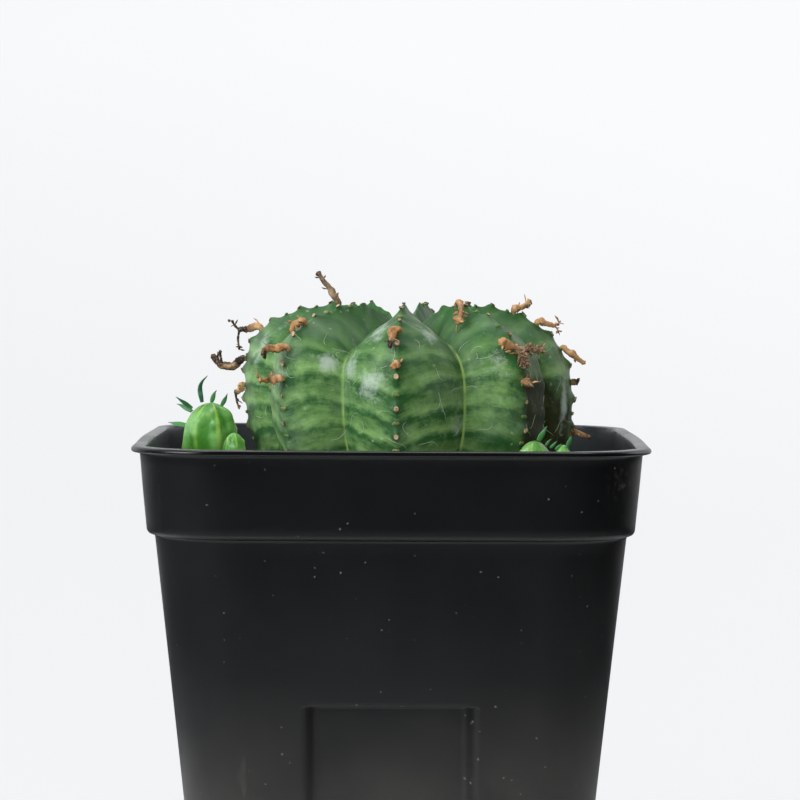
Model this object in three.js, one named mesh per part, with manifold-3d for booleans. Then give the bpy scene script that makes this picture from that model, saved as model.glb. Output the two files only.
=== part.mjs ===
// A ribbed, ball-shaped euphorbia in a square nursery pot.
// Millimetres, +Z up, the viewer's side is -Y. The origin is under the middle of the pot, on the ground.
import * as THREE from "three";
import { mergeVertices } from "three/addons/utils/BufferGeometryUtils.js";
import Module from "manifold-3d";

const wasm = await Module();
wasm.setup();

// Driving dimensions.
const POT_HEIGHT = 90;
const LIP_HALF = 46; // half the width over the lip
const LIP_REACH = 1.3; // how far the lip stands out past the collar
const LIP_THICK = 1.1;
const COLLAR_TOP_HALF = LIP_HALF - LIP_REACH;
const COLLAR_LOW_HALF = 43.25;
const COLLAR_HEIGHT = 15.7; // from the top of the lip to the step under the collar
const BODY_TOP_HALF = 42; // just under the step
const BODY_LOW_HALF = 34.25; // at the ground
const WALL = 1.1;
const FLOOR = 3.2;
const CORNER_TOP = 15.5; // corner radius at the lip
const CORNER_LOW = 11;
const SIDE_BOW = 0.45; // how far the middle of a side bulges out
const PANEL_HALF = 12.4; // the sunk panel in each side
const PANEL_RAMP = 3.1;
const PANEL_HEIGHT = 45.2;
const PANEL_DEEP = 2.6;
const CHANNEL_HALF = 12; // the drain channels that cross under the floor
const CHANNEL_DEEP = 1.8;
const DRAIN_RADIUS = 1.9;
const DRAIN_PITCH = 9;
const GAP = 0.35; // between pieces that rest on each other

const SOIL_TOP = 82;
const SOIL_ROUGH = 0.55; // how uneven the top of the soil is

const STEM_RADIUS = 30.45; // over the rib crests, at the widest level
const STEM_UP = 17; // from the widest level to the top
const STEM_DOWN = 26; // and to where the round body would close below
const STEM_FULL_UP = 2.9; // exponents of the rounded profile, 2 for an ellipse
const STEM_FULL_DOWN = 2.2;
const FURROW_DEEP = 6.2;
const FURROW_FULL = 12; // the radius from which the furrows have their full depth
const CROWN_DIP = 4.6; // how far the growing point lies below the top
const CROWN_WIDE = 7.4;
const ROOT_TIP = -60; // below the widest level
const ROOT_NECK = -21;
const ROOT_RADIUS = 8.5;
const STEM_PLACE = [3, 0, 97.6]; // the middle of the widest level
const STEM_SLANT = 0.065; // the widest level drops this much towards +X, while the crown stays level
// Crests of the ribs, and the furrow after each, in degrees from the front towards +X.
const RIBS = [-100, -46.5, -4, 42, 97, 131, 168, 215];
const FURROWS = [-75, -28.5, 24, 75, 114, 149, 192, 236];

// A mesh from rings of points, all with the same count, each end closed by a fan.
function skin(rings) {
  const count = rings[0].length;
  const middle = (ring) => ring.reduce((sum, p) => sum.add(p), new THREE.Vector3()).divideScalar(count);
  const points = [middle(rings[0]), ...rings.flat(), middle(rings.at(-1))];
  const last = points.length - 1;
  const faces = [];
  for (let i = 0; i < count; i++) {
    const j = (i + 1) % count;
    faces.push(0, 1 + j, 1 + i);
    for (let k = 0; k < rings.length - 1; k++) {
      const a = 1 + k * count;
      const b = a + count;
      faces.push(a + i, a + j, b + j, a + i, b + j, b + i);
    }
    faces.push(last, last - count + i, last - count + j);
  }
  return new THREE.BufferGeometry().setFromPoints(points).setIndex(faces);
}

function solidOf(geometry) {
  const bare = geometry.index ? geometry.clone() : mergeVertices(geometry.clone());
  bare.deleteAttribute("normal");
  bare.deleteAttribute("uv");
  const merged = mergeVertices(bare, 1e-4);
  return new wasm.Manifold(
    new wasm.Mesh({
      numProp: 3,
      vertProperties: new Float32Array(merged.attributes.position.array),
      triVerts: new Uint32Array(merged.index.array),
    }),
  );
}

function geometryOf(solid) {
  const mesh = solid.getMesh();
  return new THREE.BufferGeometry()
    .setAttribute("position", new THREE.BufferAttribute(new Float32Array(mesh.vertProperties), 3))
    .setIndex(new THREE.BufferAttribute(new Uint32Array(mesh.triVerts), 1));
}

function cut(geometry, cutters) {
  return geometryOf(cutters.reduce((left, c) => left.subtract(solidOf(c)), solidOf(geometry)));
}

function join(geometries) {
  return geometryOf(geometries.map(solidOf).reduce((a, b) => a.add(b)));
}

// ---- the pot ----

const { clamp, degToRad, lerp, smoothstep } = THREE.MathUtils;
const UP = new THREE.Vector3(0, 0, 1);
const stepZ = POT_HEIGHT - COLLAR_HEIGHT;
const bodyHalf = (z) => lerp(BODY_LOW_HALF, BODY_TOP_HALF, z / stepZ);
const collarHalf = (z) => lerp(COLLAR_LOW_HALF, COLLAR_TOP_HALF, (z - stepZ) / COLLAR_HEIGHT);
const dentAt = (z) => (z > PANEL_HEIGHT ? 0 : lerp(PANEL_DEEP - 0.5, PANEL_DEEP, z / PANEL_HEIGHT));

// One rounded-square ring of the pot, `inset` from the outside. Each side bows out a little, and its panel is
// sunk by `dent`.
function potRing(z, half, dent = 0, inset = 0) {
  const corner = lerp(CORNER_LOW, CORNER_TOP, z / POT_HEIGHT) - inset;
  const flat = half - inset - SIDE_BOW - corner;
  const panelEdge = PANEL_HALF + PANEL_RAMP;
  const along = [-flat, -(flat + panelEdge) / 2, -panelEdge, -PANEL_HALF - PANEL_RAMP / 2, -PANEL_HALF];
  const stations = [...along, 0, ...along.map((x) => -x).reverse()];
  const cornerSteps = 7;
  const side = [];
  for (const x of stations) {
    const bow = SIDE_BOW * (1 - (x / flat) ** 2) ** 2;
    const ramp = smoothstep(panelEdge - Math.abs(x), 0, PANEL_RAMP);
    side.push([x, flat + corner + bow - dent * ramp]);
  }
  for (let i = 1; i < cornerSteps; i++) {
    const turn = (i / cornerSteps) * (Math.PI / 2);
    side.push([flat + corner * Math.sin(turn), flat + corner * Math.cos(turn)]);
  }
  const ring = [];
  for (let k = 0; k < 4; k++) {
    const turn = (k * Math.PI) / 2;
    for (const [x, out] of side) ring.push(new THREE.Vector3(x, -out, z).applyAxisAngle(UP, turn));
  }
  return ring;
}

function potGeometry() {
  const lipUnder = POT_HEIGHT - LIP_THICK;
  const outside = [
    potRing(0, bodyHalf(0) - 0.9, dentAt(0)),
    potRing(0.3, bodyHalf(0) - 0.25, dentAt(0)),
    potRing(0.9, bodyHalf(0.9), dentAt(0.9)),
    potRing(PANEL_HEIGHT - 0.4, bodyHalf(PANEL_HEIGHT - 0.4), dentAt(PANEL_HEIGHT - 0.4)),
    potRing(PANEL_HEIGHT, bodyHalf(PANEL_HEIGHT)),
    potRing(stepZ, bodyHalf(stepZ)),
    potRing(stepZ + 0.05, COLLAR_LOW_HALF - 0.7),
    potRing(stepZ + 0.9, collarHalf(stepZ + 0.9)),
    potRing(lipUnder, collarHalf(lipUnder)),
    potRing(lipUnder + 0.05, LIP_HALF - 0.35),
    potRing(lipUnder + 0.4, LIP_HALF),
    potRing(POT_HEIGHT - 0.35, LIP_HALF - 0.05),
    potRing(POT_HEIGHT, LIP_HALF - 0.5),
  ];
  const inner = (z, dent = 0) => potRing(z, bodyHalf(z), dent, WALL);
  const inside = [
    potRing(POT_HEIGHT, COLLAR_TOP_HALF, 0, WALL - 0.3),
    potRing(POT_HEIGHT - 0.5, COLLAR_TOP_HALF, 0, WALL),
    potRing(stepZ + WALL, collarHalf(stepZ + WALL), 0, WALL),
    inner(stepZ + WALL - 0.1),
    inner(PANEL_HEIGHT + WALL),
    inner(PANEL_HEIGHT + WALL - 0.4, dentAt(PANEL_HEIGHT)),
    inner(FLOOR, dentAt(FLOOR)),
  ];
  const arm = 2 * LIP_HALF;
  const channel = new THREE.BoxGeometry(arm, 2 * CHANNEL_HALF, 2 * CHANNEL_DEEP);
  const crossing = new THREE.BoxGeometry(2 * CHANNEL_HALF, arm, 2 * CHANNEL_DEEP);
  const drains = [];
  for (const [i, j] of [[0, 0], [1, 0], [2, 0], [-1, 0], [-2, 0], [0, 1], [0, 2], [0, -1], [0, -2]]) {
    drains.push(
      new THREE.CylinderGeometry(DRAIN_RADIUS, DRAIN_RADIUS, 3 * FLOOR, 16)
        .rotateX(Math.PI / 2)
        .translate(i * DRAIN_PITCH, j * DRAIN_PITCH, FLOOR / 2),
    );
  }
  return cut(skin([...outside, ...inside]), [channel, crossing, ...drains]);
}

// ---- the stem with its taproot ----

// The rib crests' profile from the root tip (0) to the growing point (1): x is the radius and y the height.
function profile(t) {
  const below = 0.42; // the share of t that lies below the widest level
  if (t < below) {
    const height = ROOT_TIP * (1 - t / below) ** 1.3;
    const level = Math.min(1, -height / STEM_DOWN);
    const ball = STEM_RADIUS * (1 - level ** STEM_FULL_DOWN) ** (1 / STEM_FULL_DOWN);
    const taper = clamp((height - ROOT_TIP) / (ROOT_NECK - ROOT_TIP), 0, 1) ** 0.8;
    return new THREE.Vector2(Math.max(ball, ROOT_RADIUS * taper), height);
  }
  const turn = ((t - below) / (1 - below)) * (Math.PI / 2);
  const radius = STEM_RADIUS * Math.max(Math.cos(turn), 0) ** (2 / STEM_FULL_UP);
  const dip = CROWN_DIP * Math.exp(-((radius / CROWN_WIDE) ** 2));
  return new THREE.Vector2(radius, STEM_UP * Math.sin(turn) ** (2 / STEM_FULL_UP) - dip);
}

// How deep a furrow is at a place on the profile, and how far in the flank lies at a share of the way to it.
const furrowDeep = ({ x, y }) =>
  FURROW_DEEP * Math.min(1, x / FURROW_FULL) * smoothstep(y, ROOT_NECK - 2, ROOT_NECK + 9);
const flank = (share, radius) => {
  const straight = lerp(0.95, 0.6, smoothstep(radius, 14, 24)); // the flanks are flatter near the crown
  return straight * share + (1 - straight) * share ** 3;
};

// Lowers a point of the stem on the +X side: most at the widest level, not at all at the crown and the root.
function slanted(point, height) {
  const part = Math.min(1, Math.abs(height) / (height > 0 ? STEM_UP : STEM_DOWN));
  point.z -= STEM_SLANT * point.x * (1 - part ** 2);
  return point;
}

// A ring of the stem at t on the profile, grown outwards by `grow`.
function stemRing(t, grow) {
  const perRib = 8;
  const at = profile(t);
  const along = profile(Math.min(1, t + 1e-3)).sub(profile(Math.max(0, t - 1e-3))).normalize();
  const deep = furrowDeep(at);
  const ring = [];
  RIBS.forEach((rib, k) => {
    const next = k + 1 < RIBS.length ? RIBS[k + 1] : RIBS[0] + 360;
    for (let i = 0; i < perRib; i++) {
      const way = (2 * i) / perRib; // 0 on this crest, 1 in the furrow, 2 on the next crest
      const turn = degToRad(way < 1 ? lerp(rib, FURROWS[k], way) : lerp(FURROWS[k], next, way - 1));
      const out = grow - deep * flank(1 - Math.abs(1 - way), at.x);
      const radius = Math.max(0.05, at.x + out * along.y);
      const outward = new THREE.Vector3(Math.sin(turn), -Math.cos(turn), 0);
      ring.push(slanted(outward.multiplyScalar(radius).setZ(at.y - out * along.x), at.y));
    }
  });
  return ring;
}

function stemGeometry(grow = 0) {
  const levels = 24;
  const rings = [];
  for (let i = 0; i < levels; i++) rings.push(stemRing(0.995 * (i / (levels - 1)), grow));
  return skin(rings);
}

// ---- tubes: dried flower stalks, and the leaves and bodies of the offsets ----

// A tube along a smooth curve through `knots`, with its half-widths given along the way.
function tube(knots, widths, { sides = 6, steps = 5, flatten = 1 } = {}) {
  const curve = new THREE.CatmullRomCurve3(knots);
  const frames = curve.computeFrenetFrames(steps);
  const rings = [];
  for (let i = 0; i <= steps; i++) {
    const at = curve.getPointAt(i / steps);
    const place = (i / steps) * (widths.length - 1);
    const k = Math.min(Math.floor(place), widths.length - 2);
    const width = lerp(widths[k], widths[k + 1], place - k);
    const ring = [];
    for (let j = 0; j < sides; j++) {
      const turn = (j / sides) * 2 * Math.PI;
      ring.push(
        at
          .clone()
          .addScaledVector(frames.normals[i], width * Math.cos(turn))
          .addScaledVector(frames.binormals[i], flatten * width * Math.sin(turn)),
      );
    }
    rings.push(ring);
  }
  return skin(rings);
}

// A point of a rib's crest at a height above the widest level, in the stem's own frame, with the ways out and
// aside and the surface's normal there.
function onCrest(rib, height) {
  const turn = degToRad(RIBS[rib]);
  const [half, full] = height > 0 ? [STEM_UP, STEM_FULL_UP] : [STEM_DOWN, STEM_FULL_DOWN];
  const radius = STEM_RADIUS * (1 - (Math.abs(height) / half) ** full) ** (1 / full);
  const out = new THREE.Vector3(Math.sin(turn), -Math.cos(turn), 0);
  const aside = new THREE.Vector3(Math.cos(turn), Math.sin(turn), 0);
  const rise = Math.sign(height) * (Math.abs(height) / half) ** (full - 1) / half;
  const spread = (radius / STEM_RADIUS) ** (full - 1) / STEM_RADIUS;
  const normal = out.clone().multiplyScalar(spread).setZ(rise).normalize();
  const point = slanted(out.clone().multiplyScalar(radius).setZ(height), height);
  return { point, out, aside, normal };
}

// Dried stalks. Each grows from a rib's crest at a height; its knots are [out, aside, up] from there.
const STALKS = [
  { name: "stalk_tall", rib: 7, height: 14, thick: 0.75, thin: 0.45,
    knots: [[0.1, 0.3, 2.4], [0.9, 1.7, 5.2], [2, 3.7, 8.2]] },
  { name: "stalk_left_forked", rib: 0, height: 10.7, thick: 0.75, thin: 0.5,
    knots: [[2.2, 0, 0.3], [4.6, 0, 0]],
    arms: [[[4.4, 0, 0], [5.3, 0, 0.9], [5.9, 0, 1.8]], [[4.4, 0, 0], [4.6, 0, -1.8], [4.4, 0, -3.8]]] },
  { name: "stalk_left_dark", rib: 0, height: 4.6, thick: 0.75, thin: 0.5,
    knots: [[1.2, 0, -0.1], [3, 0, -1.4], [5, 0, -1.3], [6.1, 0, -0.1], [6.9, 0, 0.7]] },
  { name: "stalk_left_low", rib: 0, height: -0.6, thick: 0.7, thin: 0.45,
    knots: [[1, 0, -0.5], [2.3, 0, -1.4]],
    arms: [[[2.1, 0, -1.2], [1.8, 0, -2.8], [1.3, 0, -4.4]]] },
  { name: "stalk_a_top", rib: 1, height: 12.6, thick: 0.65, thin: 0.4,
    knots: [[1.2, -0.5, 0.6], [2.1, -1, 0], [2.4, -1.2, -1.5]] },
  { name: "stalk_a_upper", rib: 1, height: 7.8, thick: 0.8, thin: 0.35,
    knots: [[2.4, -1, 0.2], [4.4, -1.9, 0], [4.2, -1.6, -1.7]] },
  { name: "stalk_a_lower", rib: 1, height: 2.2, thick: 0.7, thin: 0.35,
    knots: [[1.3, -0.5, 0.1], [2.6, -1, 0], [4.6, -1.8, -0.1]] },
  { name: "stalk_b_upper", rib: 2, height: 12, thick: 0.75, thin: 0.4,
    knots: [[1.5, -0.8, 0.3], [2.8, -1.2, -1], [3.7, -1.2, -2.6]] },
  { name: "stalk_b_stub", rib: 2, height: 6.3, thick: 0.7, thin: 0.5,
    knots: [[1.3, -0.4, 0.1], [2.1, -1, 0]] },
  { name: "stalk_c_top", rib: 3, height: 16.3, thick: 0.5, thin: 0.75,
    knots: [[1.4, -0.7, 1.2], [3.3, -1.8, 0.6], [5.1, -3.4, -1], [5.7, -4.9, -2.7]] },
  { name: "stalk_c_fork", rib: 3, height: 9.4, thick: 0.8, thin: 0.8,
    knots: [[1, -1.6, 1], [1.3, -5.2, 2.3]],
    arms: [[[1, -0.8, 0.8], [2.1, 1, 0.7], [4, 3.4, 0.7]], [[1, -1, 0.8], [1.9, -0.2, -0.8], [2.3, 0, -2]]] },
  { name: "stalk_c_stub", rib: 3, height: 4.6, thick: 0.75, thin: 0.5,
    knots: [[1.4, 0.2, -0.1], [2.1, 0.6, -0.3]] },
  { name: "stalk_right_top", rib: 4, height: 15.2, thick: 0.7, thin: 0.5,
    knots: [[1.6, 0, 1.3], [3.3, 0, 2.6]] },
  { name: "stalk_right_forked", rib: 4, height: 13.4, thick: 0.65, thin: 0.35,
    knots: [[1.9, 0, 0.5], [3.6, 0, -0.2]],
    arms: [[[3.3, 0, 0], [3.9, 0, 0.4], [4.5, 0, 1]], [[3.3, 0, 0], [3.9, 0.1, -0.6], [4.2, 0.3, -1.4]]] },
  { name: "stalk_right_long", rib: 4, height: 9.6, thick: 0.65, thin: 0.4,
    knots: [[1.5, 0, -0.3], [3.1, 0, -1.3], [4.8, 0, -2.6]] },
  { name: "stalk_right_stub", rib: 4, height: 4.2, thick: 0.5, thin: 0.3,
    knots: [[1.1, 0, 0], [1.8, 0, 0.8]] },
  { name: "stalk_low", rib: 5, height: -4.9, thick: 0.7, thin: 0.45,
    knots: [[3, -3, -0.3], [5.7, -6.4, -1.2], [8, -9.5, -2.4]] },
  { name: "stalk_back_high", rib: 6, height: 12.5, thick: 0.7, thin: 0.4,
    knots: [[1.7, 0.6, 0.5], [3.4, 1.4, 0.4], [4.4, 1.2, -0.8]] },
  { name: "stalk_back_mid", rib: 6, height: 4, thick: 0.75, thin: 0.4,
    knots: [[1.5, -0.8, 0], [3.6, -1.8, -0.3], [5.2, -1.6, -1.2]] },
  { name: "stalk_back_left", rib: 7, height: 8, thick: 0.7, thin: 0.4,
    knots: [[1.8, 0.4, 0.2], [3.9, 0.2, 0.3], [5, -0.6, 1.1]] },
  { name: "stalk_back_left_stub", rib: 7, height: 1, thick: 0.65, thin: 0.45,
    knots: [[1.2, 0.5, -0.1], [2.3, 1.2, -0.5]] },
  { name: "stalk_back_right", rib: 5, height: 9.5, thick: 0.7, thin: 0.4,
    knots: [[1.7, 0.8, 0.3], [3.5, 2, 0.1], [4.5, 1.9, -1]] },
];

function stalkGeometry({ rib, height, thick, thin, knots, arms = [] }) {
  const { point, out, aside, normal } = onCrest(rib, height);
  const place = ([o, a, u]) =>
    point.clone().addScaledVector(out, o).addScaledVector(aside, a).add(new THREE.Vector3(0, 0, u));
  const foot = [GAP, GAP + 0.8 * thick].map((clear) => point.clone().addScaledVector(normal, clear));
  const trunk = tube([...foot, ...knots.map(place)], [thick, (thick + thin) / 2, thin]);
  const forks = arms.map((arm) => tube(arm.map(place), [0.8 * thin, 0.7 * thin, 0.5 * thin], { steps: 3 }));
  return forks.length ? join([trunk, ...forks]) : trunk;
}

// Offsets: small round stems beside the big one, each from the soil up. `base` is [x, y], `top` its height.
const OFFSETS = [
  { name: "offset_left", base: [-33.3, 2], top: 96.4, radius: 5.3 },
  { name: "offset_small", base: [-28.6, -7.4], top: 91.2, radius: 2.3 },
  { name: "offset_right", base: [25.2, -25.4], top: 91, radius: 3.1 },
  { name: "offset_right_bud", base: [30.3, -26.4], top: 90.4, radius: 1.7 },
];

function offsetGeometry({ base, top, radius }) {
  const foot = SOIL_TOP + SOIL_ROUGH + GAP + 0.1;
  const levels = 8;
  const sides = 14;
  const rings = [];
  for (let i = 0; i < levels; i++) {
    const share = i / (levels - 1);
    const swell = 0.72 + 0.28 * Math.sin(Math.min(1, share / 0.55) * (Math.PI / 2));
    const cap = Math.sqrt(1 - Math.max(0, (share - 0.55) / 0.45) ** 2.2 * 0.985);
    const ring = [];
    for (let j = 0; j < sides; j++) {
      const out = new THREE.Vector3(radius * swell * cap, 0, 0).applyAxisAngle(UP, (j / sides) * 2 * Math.PI);
      ring.push(new THREE.Vector3(...base, lerp(foot, top, share)).add(out));
    }
    rings.push(ring);
  }
  return skin(rings);
}

// Leaves of the offsets, each a list of points from its foot to its tip.
const LEAVES = [
  { name: "leaf_left_tall", knots: [[-35, 2, 96.9], [-35.4, 2, 98.4], [-35, 1.9, 99.8], [-33.9, 1.8, 101]] },
  { name: "leaf_left_out", knots: [[-37.3, 1.4, 95.3], [-38.6, 1, 96.2], [-39.8, 0.6, 97.1]] },
  { name: "leaf_left_behind", knots: [[-37.7, 4.6, 94.6], [-39, 5.6, 95.2], [-40, 6.4, 95.5]] },
  { name: "leaf_left_middle", knots: [[-33.3, 4.4, 96.6], [-32.9, 5.4, 97.5], [-32.5, 6, 98.1]] },
  { name: "leaf_left_inner", knots: [[-31, 0, 96.2], [-30.5, -0.4, 97], [-30.2, -0.7, 97.8]] },
  { name: "leaf_left_low", knots: [[-38.4, 5.2, 91.6], [-40, 7, 91.8], [-41.8, 9.2, 91.9]] },
  { name: "leaf_right_upright", knots: [[26.2, -26.4, 91.4], [26.8, -26.9, 92.4], [27.4, -27.2, 93.5]] },
  { name: "leaf_right_edge", knots: [[31.2, -27.2, 90.5], [31.5, -27.6, 91.2], [31.6, -27.8, 91.9]] },
];

const vector = ([x, y, z]) => new THREE.Vector3(x, y, z);
const leafWidths = [0.4, 0.55, 0.45, 0.16];
const leafGeometry = ({ knots }) => tube(knots.map(vector), leafWidths, { steps: 4, flatten: 0.6 });

// ---- the soil ----

function soilGeometry(plantMatrix) {
  const ring = (z, half, dent = 0) => potRing(z, half, dent, WALL + GAP);
  const panelZ = PANEL_HEIGHT + WALL + GAP;
  const sides = [
    ring(FLOOR + GAP, bodyHalf(FLOOR), dentAt(FLOOR)),
    ring(panelZ - 0.4, bodyHalf(panelZ), PANEL_DEEP),
    ring(panelZ, bodyHalf(panelZ)),
    ring(stepZ + WALL + GAP - 0.1, bodyHalf(stepZ)),
    ring(stepZ + WALL + GAP, collarHalf(stepZ + WALL)),
    ring(SOIL_TOP - 0.6, collarHalf(SOIL_TOP)),
  ];
  const edge = ring(SOIL_TOP, collarHalf(SOIL_TOP));
  const uneven = (x, y) => SOIL_ROUGH * Math.sin(0.37 * x + 1.3) * Math.cos(0.31 * y - 0.4);
  const top = [0.985, 0.88, 0.76, 0.6].map((share) =>
    edge.map(({ x, y }) => new THREE.Vector3(x * share, y * share, SOIL_TOP + uneven(x * share, y * share))),
  );
  const hole = stemGeometry(GAP + 0.1).applyMatrix4(plantMatrix);
  return cut(skin([...sides, ...top]), [hole]);
}

// ---- the scene graph ----

const finish = (color, roughness) => new THREE.MeshStandardMaterial({ color, roughness, metalness: 0 });
const blackPlastic = finish(0x1b1c1e, 0.5);
const pottingMix = finish(0x3a2c22, 0.95);
const greenSkin = finish(0x3d7a42, 0.45);
const brightSkin = finish(0x4da02c, 0.35);
const leafSkin = finish(0x2f7d46, 0.4);
const driedStalk = finish(0xb07a45, 0.85);

function piece(name, geometry, material) {
  const mesh = new THREE.Mesh(geometry, material);
  mesh.name = name;
  return mesh;
}

const plant = new THREE.Group();
plant.position.set(...STEM_PLACE);
plant.updateMatrix();
plant.add(piece("stem", stemGeometry(), greenSkin));
for (const stalk of STALKS) plant.add(piece(stalk.name, stalkGeometry(stalk), driedStalk));

const offsets = new THREE.Group();
for (const offset of OFFSETS) offsets.add(piece(offset.name, offsetGeometry(offset), brightSkin));
for (const leaf of LEAVES) offsets.add(piece(leaf.name, leafGeometry(leaf), leafSkin));

const pottedPlant = new THREE.Group();
pottedPlant.add(piece("pot", potGeometry(), blackPlastic));
pottedPlant.add(piece("soil", soilGeometry(plant.matrix), pottingMix));
pottedPlant.add(plant, offsets);

export default pottedPlant;
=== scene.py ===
import math
import bpy
import numpy as np
from mathutils import Matrix, Vector


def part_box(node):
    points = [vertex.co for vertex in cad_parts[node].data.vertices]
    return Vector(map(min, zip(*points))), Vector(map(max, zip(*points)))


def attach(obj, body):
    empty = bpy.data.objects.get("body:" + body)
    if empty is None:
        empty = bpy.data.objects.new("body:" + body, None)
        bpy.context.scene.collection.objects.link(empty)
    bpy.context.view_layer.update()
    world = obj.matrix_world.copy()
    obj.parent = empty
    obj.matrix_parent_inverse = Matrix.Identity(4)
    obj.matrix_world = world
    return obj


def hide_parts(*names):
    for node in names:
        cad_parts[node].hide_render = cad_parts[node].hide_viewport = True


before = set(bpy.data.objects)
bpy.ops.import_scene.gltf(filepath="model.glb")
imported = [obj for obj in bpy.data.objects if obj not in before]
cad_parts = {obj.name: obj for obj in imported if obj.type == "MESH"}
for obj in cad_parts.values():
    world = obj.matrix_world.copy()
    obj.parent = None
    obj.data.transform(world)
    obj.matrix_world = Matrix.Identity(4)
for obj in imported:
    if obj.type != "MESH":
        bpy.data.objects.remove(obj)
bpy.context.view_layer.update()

mm = 0.001
scene = bpy.context.scene
potLow, potHigh = (np.array(corner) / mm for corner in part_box("pot"))
lipHeight = float(potHigh[2])
print("frame loaded, lip at", round(lipHeight, 2), "mm")

# The camera looks at the pot's lip from the front, a little above it.
cameraPlan = {
    "lens": 149.0,  # mm, on a 36 mm sensor
    "distance": 610.0,  # from the middle of the lip
    "elevation": 3.24,  # degrees
    "aimRight": 1.55,
    "aimUp": 6.70,
    "roll": 0.3,  # degrees
}


def makeCamera(plan):
    up = math.radians(plan["elevation"])
    lip = Vector((0, 0, lipHeight))
    place = lip + plan["distance"] * Vector((0, -math.cos(up), math.sin(up)))
    aim = lip + Vector((plan["aimRight"], 0, plan["aimUp"]))
    camera = bpy.data.objects.new("camera", bpy.data.cameras.new("camera"))
    camera.data.lens = plan["lens"]
    camera.data.clip_start, camera.data.clip_end = 0.01, 20
    turn = (aim - place).to_track_quat("-Z", "Y").to_matrix()
    roll = Matrix.Rotation(math.radians(plan["roll"]), 3, "Z")
    camera.matrix_world = Matrix.Translation(place * mm) @ (turn @ roll).to_4x4()
    scene.collection.objects.link(camera)
    scene.camera = camera


makeCamera(cameraPlan)
print("camera set")

# Shapes as arrays: a shape is a dictionary of points in mm, quads, triangles and point attributes.


def bandFaces(rings, columns):
    # quads between neighbouring rings of a surface that closes on itself sideways
    i = np.arange(columns)
    j = (i + 1) % columns
    low = columns * np.arange(rings - 1)[:, None]
    return np.stack([low + i, low + j, low + columns + j, low + columns + i], -1).reshape(-1, 4)


def skinOf(rings, **attributes):
    # A closed skin through rings (ring, column, xyz): neighbouring rings are joined by quads, and each end
    # ring is closed by a fan to the mean of its points. Attributes are given as arrays over ring and column,
    # or as what numpy can stretch to them.
    count, columns = rings.shape[:2]
    points = np.concatenate([rings.reshape(-1, 3), rings[:1].mean(1), rings[-1:].mean(1)])
    i = np.arange(columns)
    j = (i + 1) % columns
    last = (count - 1) * columns
    low = np.stack([np.full(columns, last + columns), j, i], -1)
    high = np.stack([np.full(columns, last + columns + 1), last + i, last + j], -1)
    shape = {"points": points, "quads": bandFaces(count, columns), "tris": np.concatenate([low, high])}
    for key, value in attributes.items():
        value = np.broadcast_to(value, (count, columns) + np.shape(value)[2:])
        ends = [value[:1].mean(1), value[-1:].mean(1)]
        shape[key] = np.concatenate([value.reshape((-1,) + value.shape[2:]), *ends])
    return shape


def joined(shapes):
    # several shapes as one, their points one after the other
    starts = np.cumsum([0] + [len(s["points"]) for s in shapes])
    whole = {}
    for key in shapes[0]:
        if key in ("quads", "tris"):
            whole[key] = np.concatenate([s[key] + start for s, start in zip(shapes, starts)])
        else:
            whole[key] = np.concatenate([s[key] for s in shapes])
    return whole


def makePiece(name, shape, material, replaces=()):
    mesh = bpy.data.meshes.new(name)
    points, quads, tris = shape["points"] * mm, shape["quads"], shape["tris"]
    mesh.vertices.add(len(points))
    mesh.vertices.foreach_set("co", points.ravel())
    corners = np.concatenate([quads.ravel(), tris.ravel()])
    mesh.loops.add(len(corners))
    mesh.loops.foreach_set("vertex_index", corners)
    starts = np.concatenate([4 * np.arange(len(quads)), quads.size + 3 * np.arange(len(tris))])
    mesh.polygons.add(len(starts))
    mesh.polygons.foreach_set("loop_start", starts)
    mesh.polygons.foreach_set("use_smooth", np.ones(len(starts), bool))
    for key, value in shape.items():
        if key in ("points", "quads", "tris"):
            continue
        if value.ndim == 1:
            mesh.attributes.new(key, "FLOAT", "POINT").data.foreach_set("value", value)
        else:
            tinted = np.concatenate([value, np.ones((len(value), 1))], 1)
            mesh.attributes.new(key, "FLOAT_COLOR", "POINT").data.foreach_set("color", tinted.ravel())
    mesh.update(calc_edges=True)
    mesh.validate()
    mesh.materials.append(material)
    piece = bpy.data.objects.new(name, mesh)
    scene.collection.objects.link(piece)
    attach(piece, "root")
    if replaces:
        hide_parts(*replaces)
    return piece


def wayAlong(path):
    # how far along a path each of its points lies
    return np.concatenate([[0], np.cumsum(np.linalg.norm(np.diff(path, axis=0), axis=1))])


def capitals(name):
    return "".join(part.capitalize() for part in name.split("_"))


def smoothPath(knots, steps):
    # Points along a Catmull-Rom curve through the knots: each stretch is the cubic whose end slopes are half
    # the difference of the neighbouring knots. The points are then spread evenly by length.
    knots = np.asarray(knots, float)
    padded = np.concatenate([2 * knots[:1] - knots[1:2], knots, 2 * knots[-1:] - knots[-2:-1]])
    t = np.linspace(0, 1, 24, endpoint=False)[:, None]
    parts = []
    for a, b, c, d in zip(padded[:-3], padded[1:-2], padded[2:-1], padded[3:]):
        square, cube = a - 2.5 * b + 2 * c - d / 2, 1.5 * (b - c) + (d - a) / 2
        parts.append(b + t * (c - a) / 2 + t**2 * square + t**3 * cube)
    dense = np.concatenate(parts + [knots[-1:]])
    length = wayAlong(dense)
    at = np.linspace(0, length[-1], steps)
    return np.stack([np.interp(at, length, dense[:, k]) for k in range(3)], -1)


def turnsOf(count):
    # the angles of the points of a closed ring
    return np.linspace(0, 2 * np.pi, count, endpoint=False)


def stepUp(low, high, x):
    # a smooth rise from 0 to 1 between two levels
    t = np.clip((x - low) / (high - low), 0, 1)
    return t * t * (3 - 2 * t)


def hump(x, width):
    return np.exp(-((x / width) ** 2))


def unit(vectors):
    return vectors / np.maximum(np.linalg.norm(vectors, axis=-1, keepdims=True), 1e-9)


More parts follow.
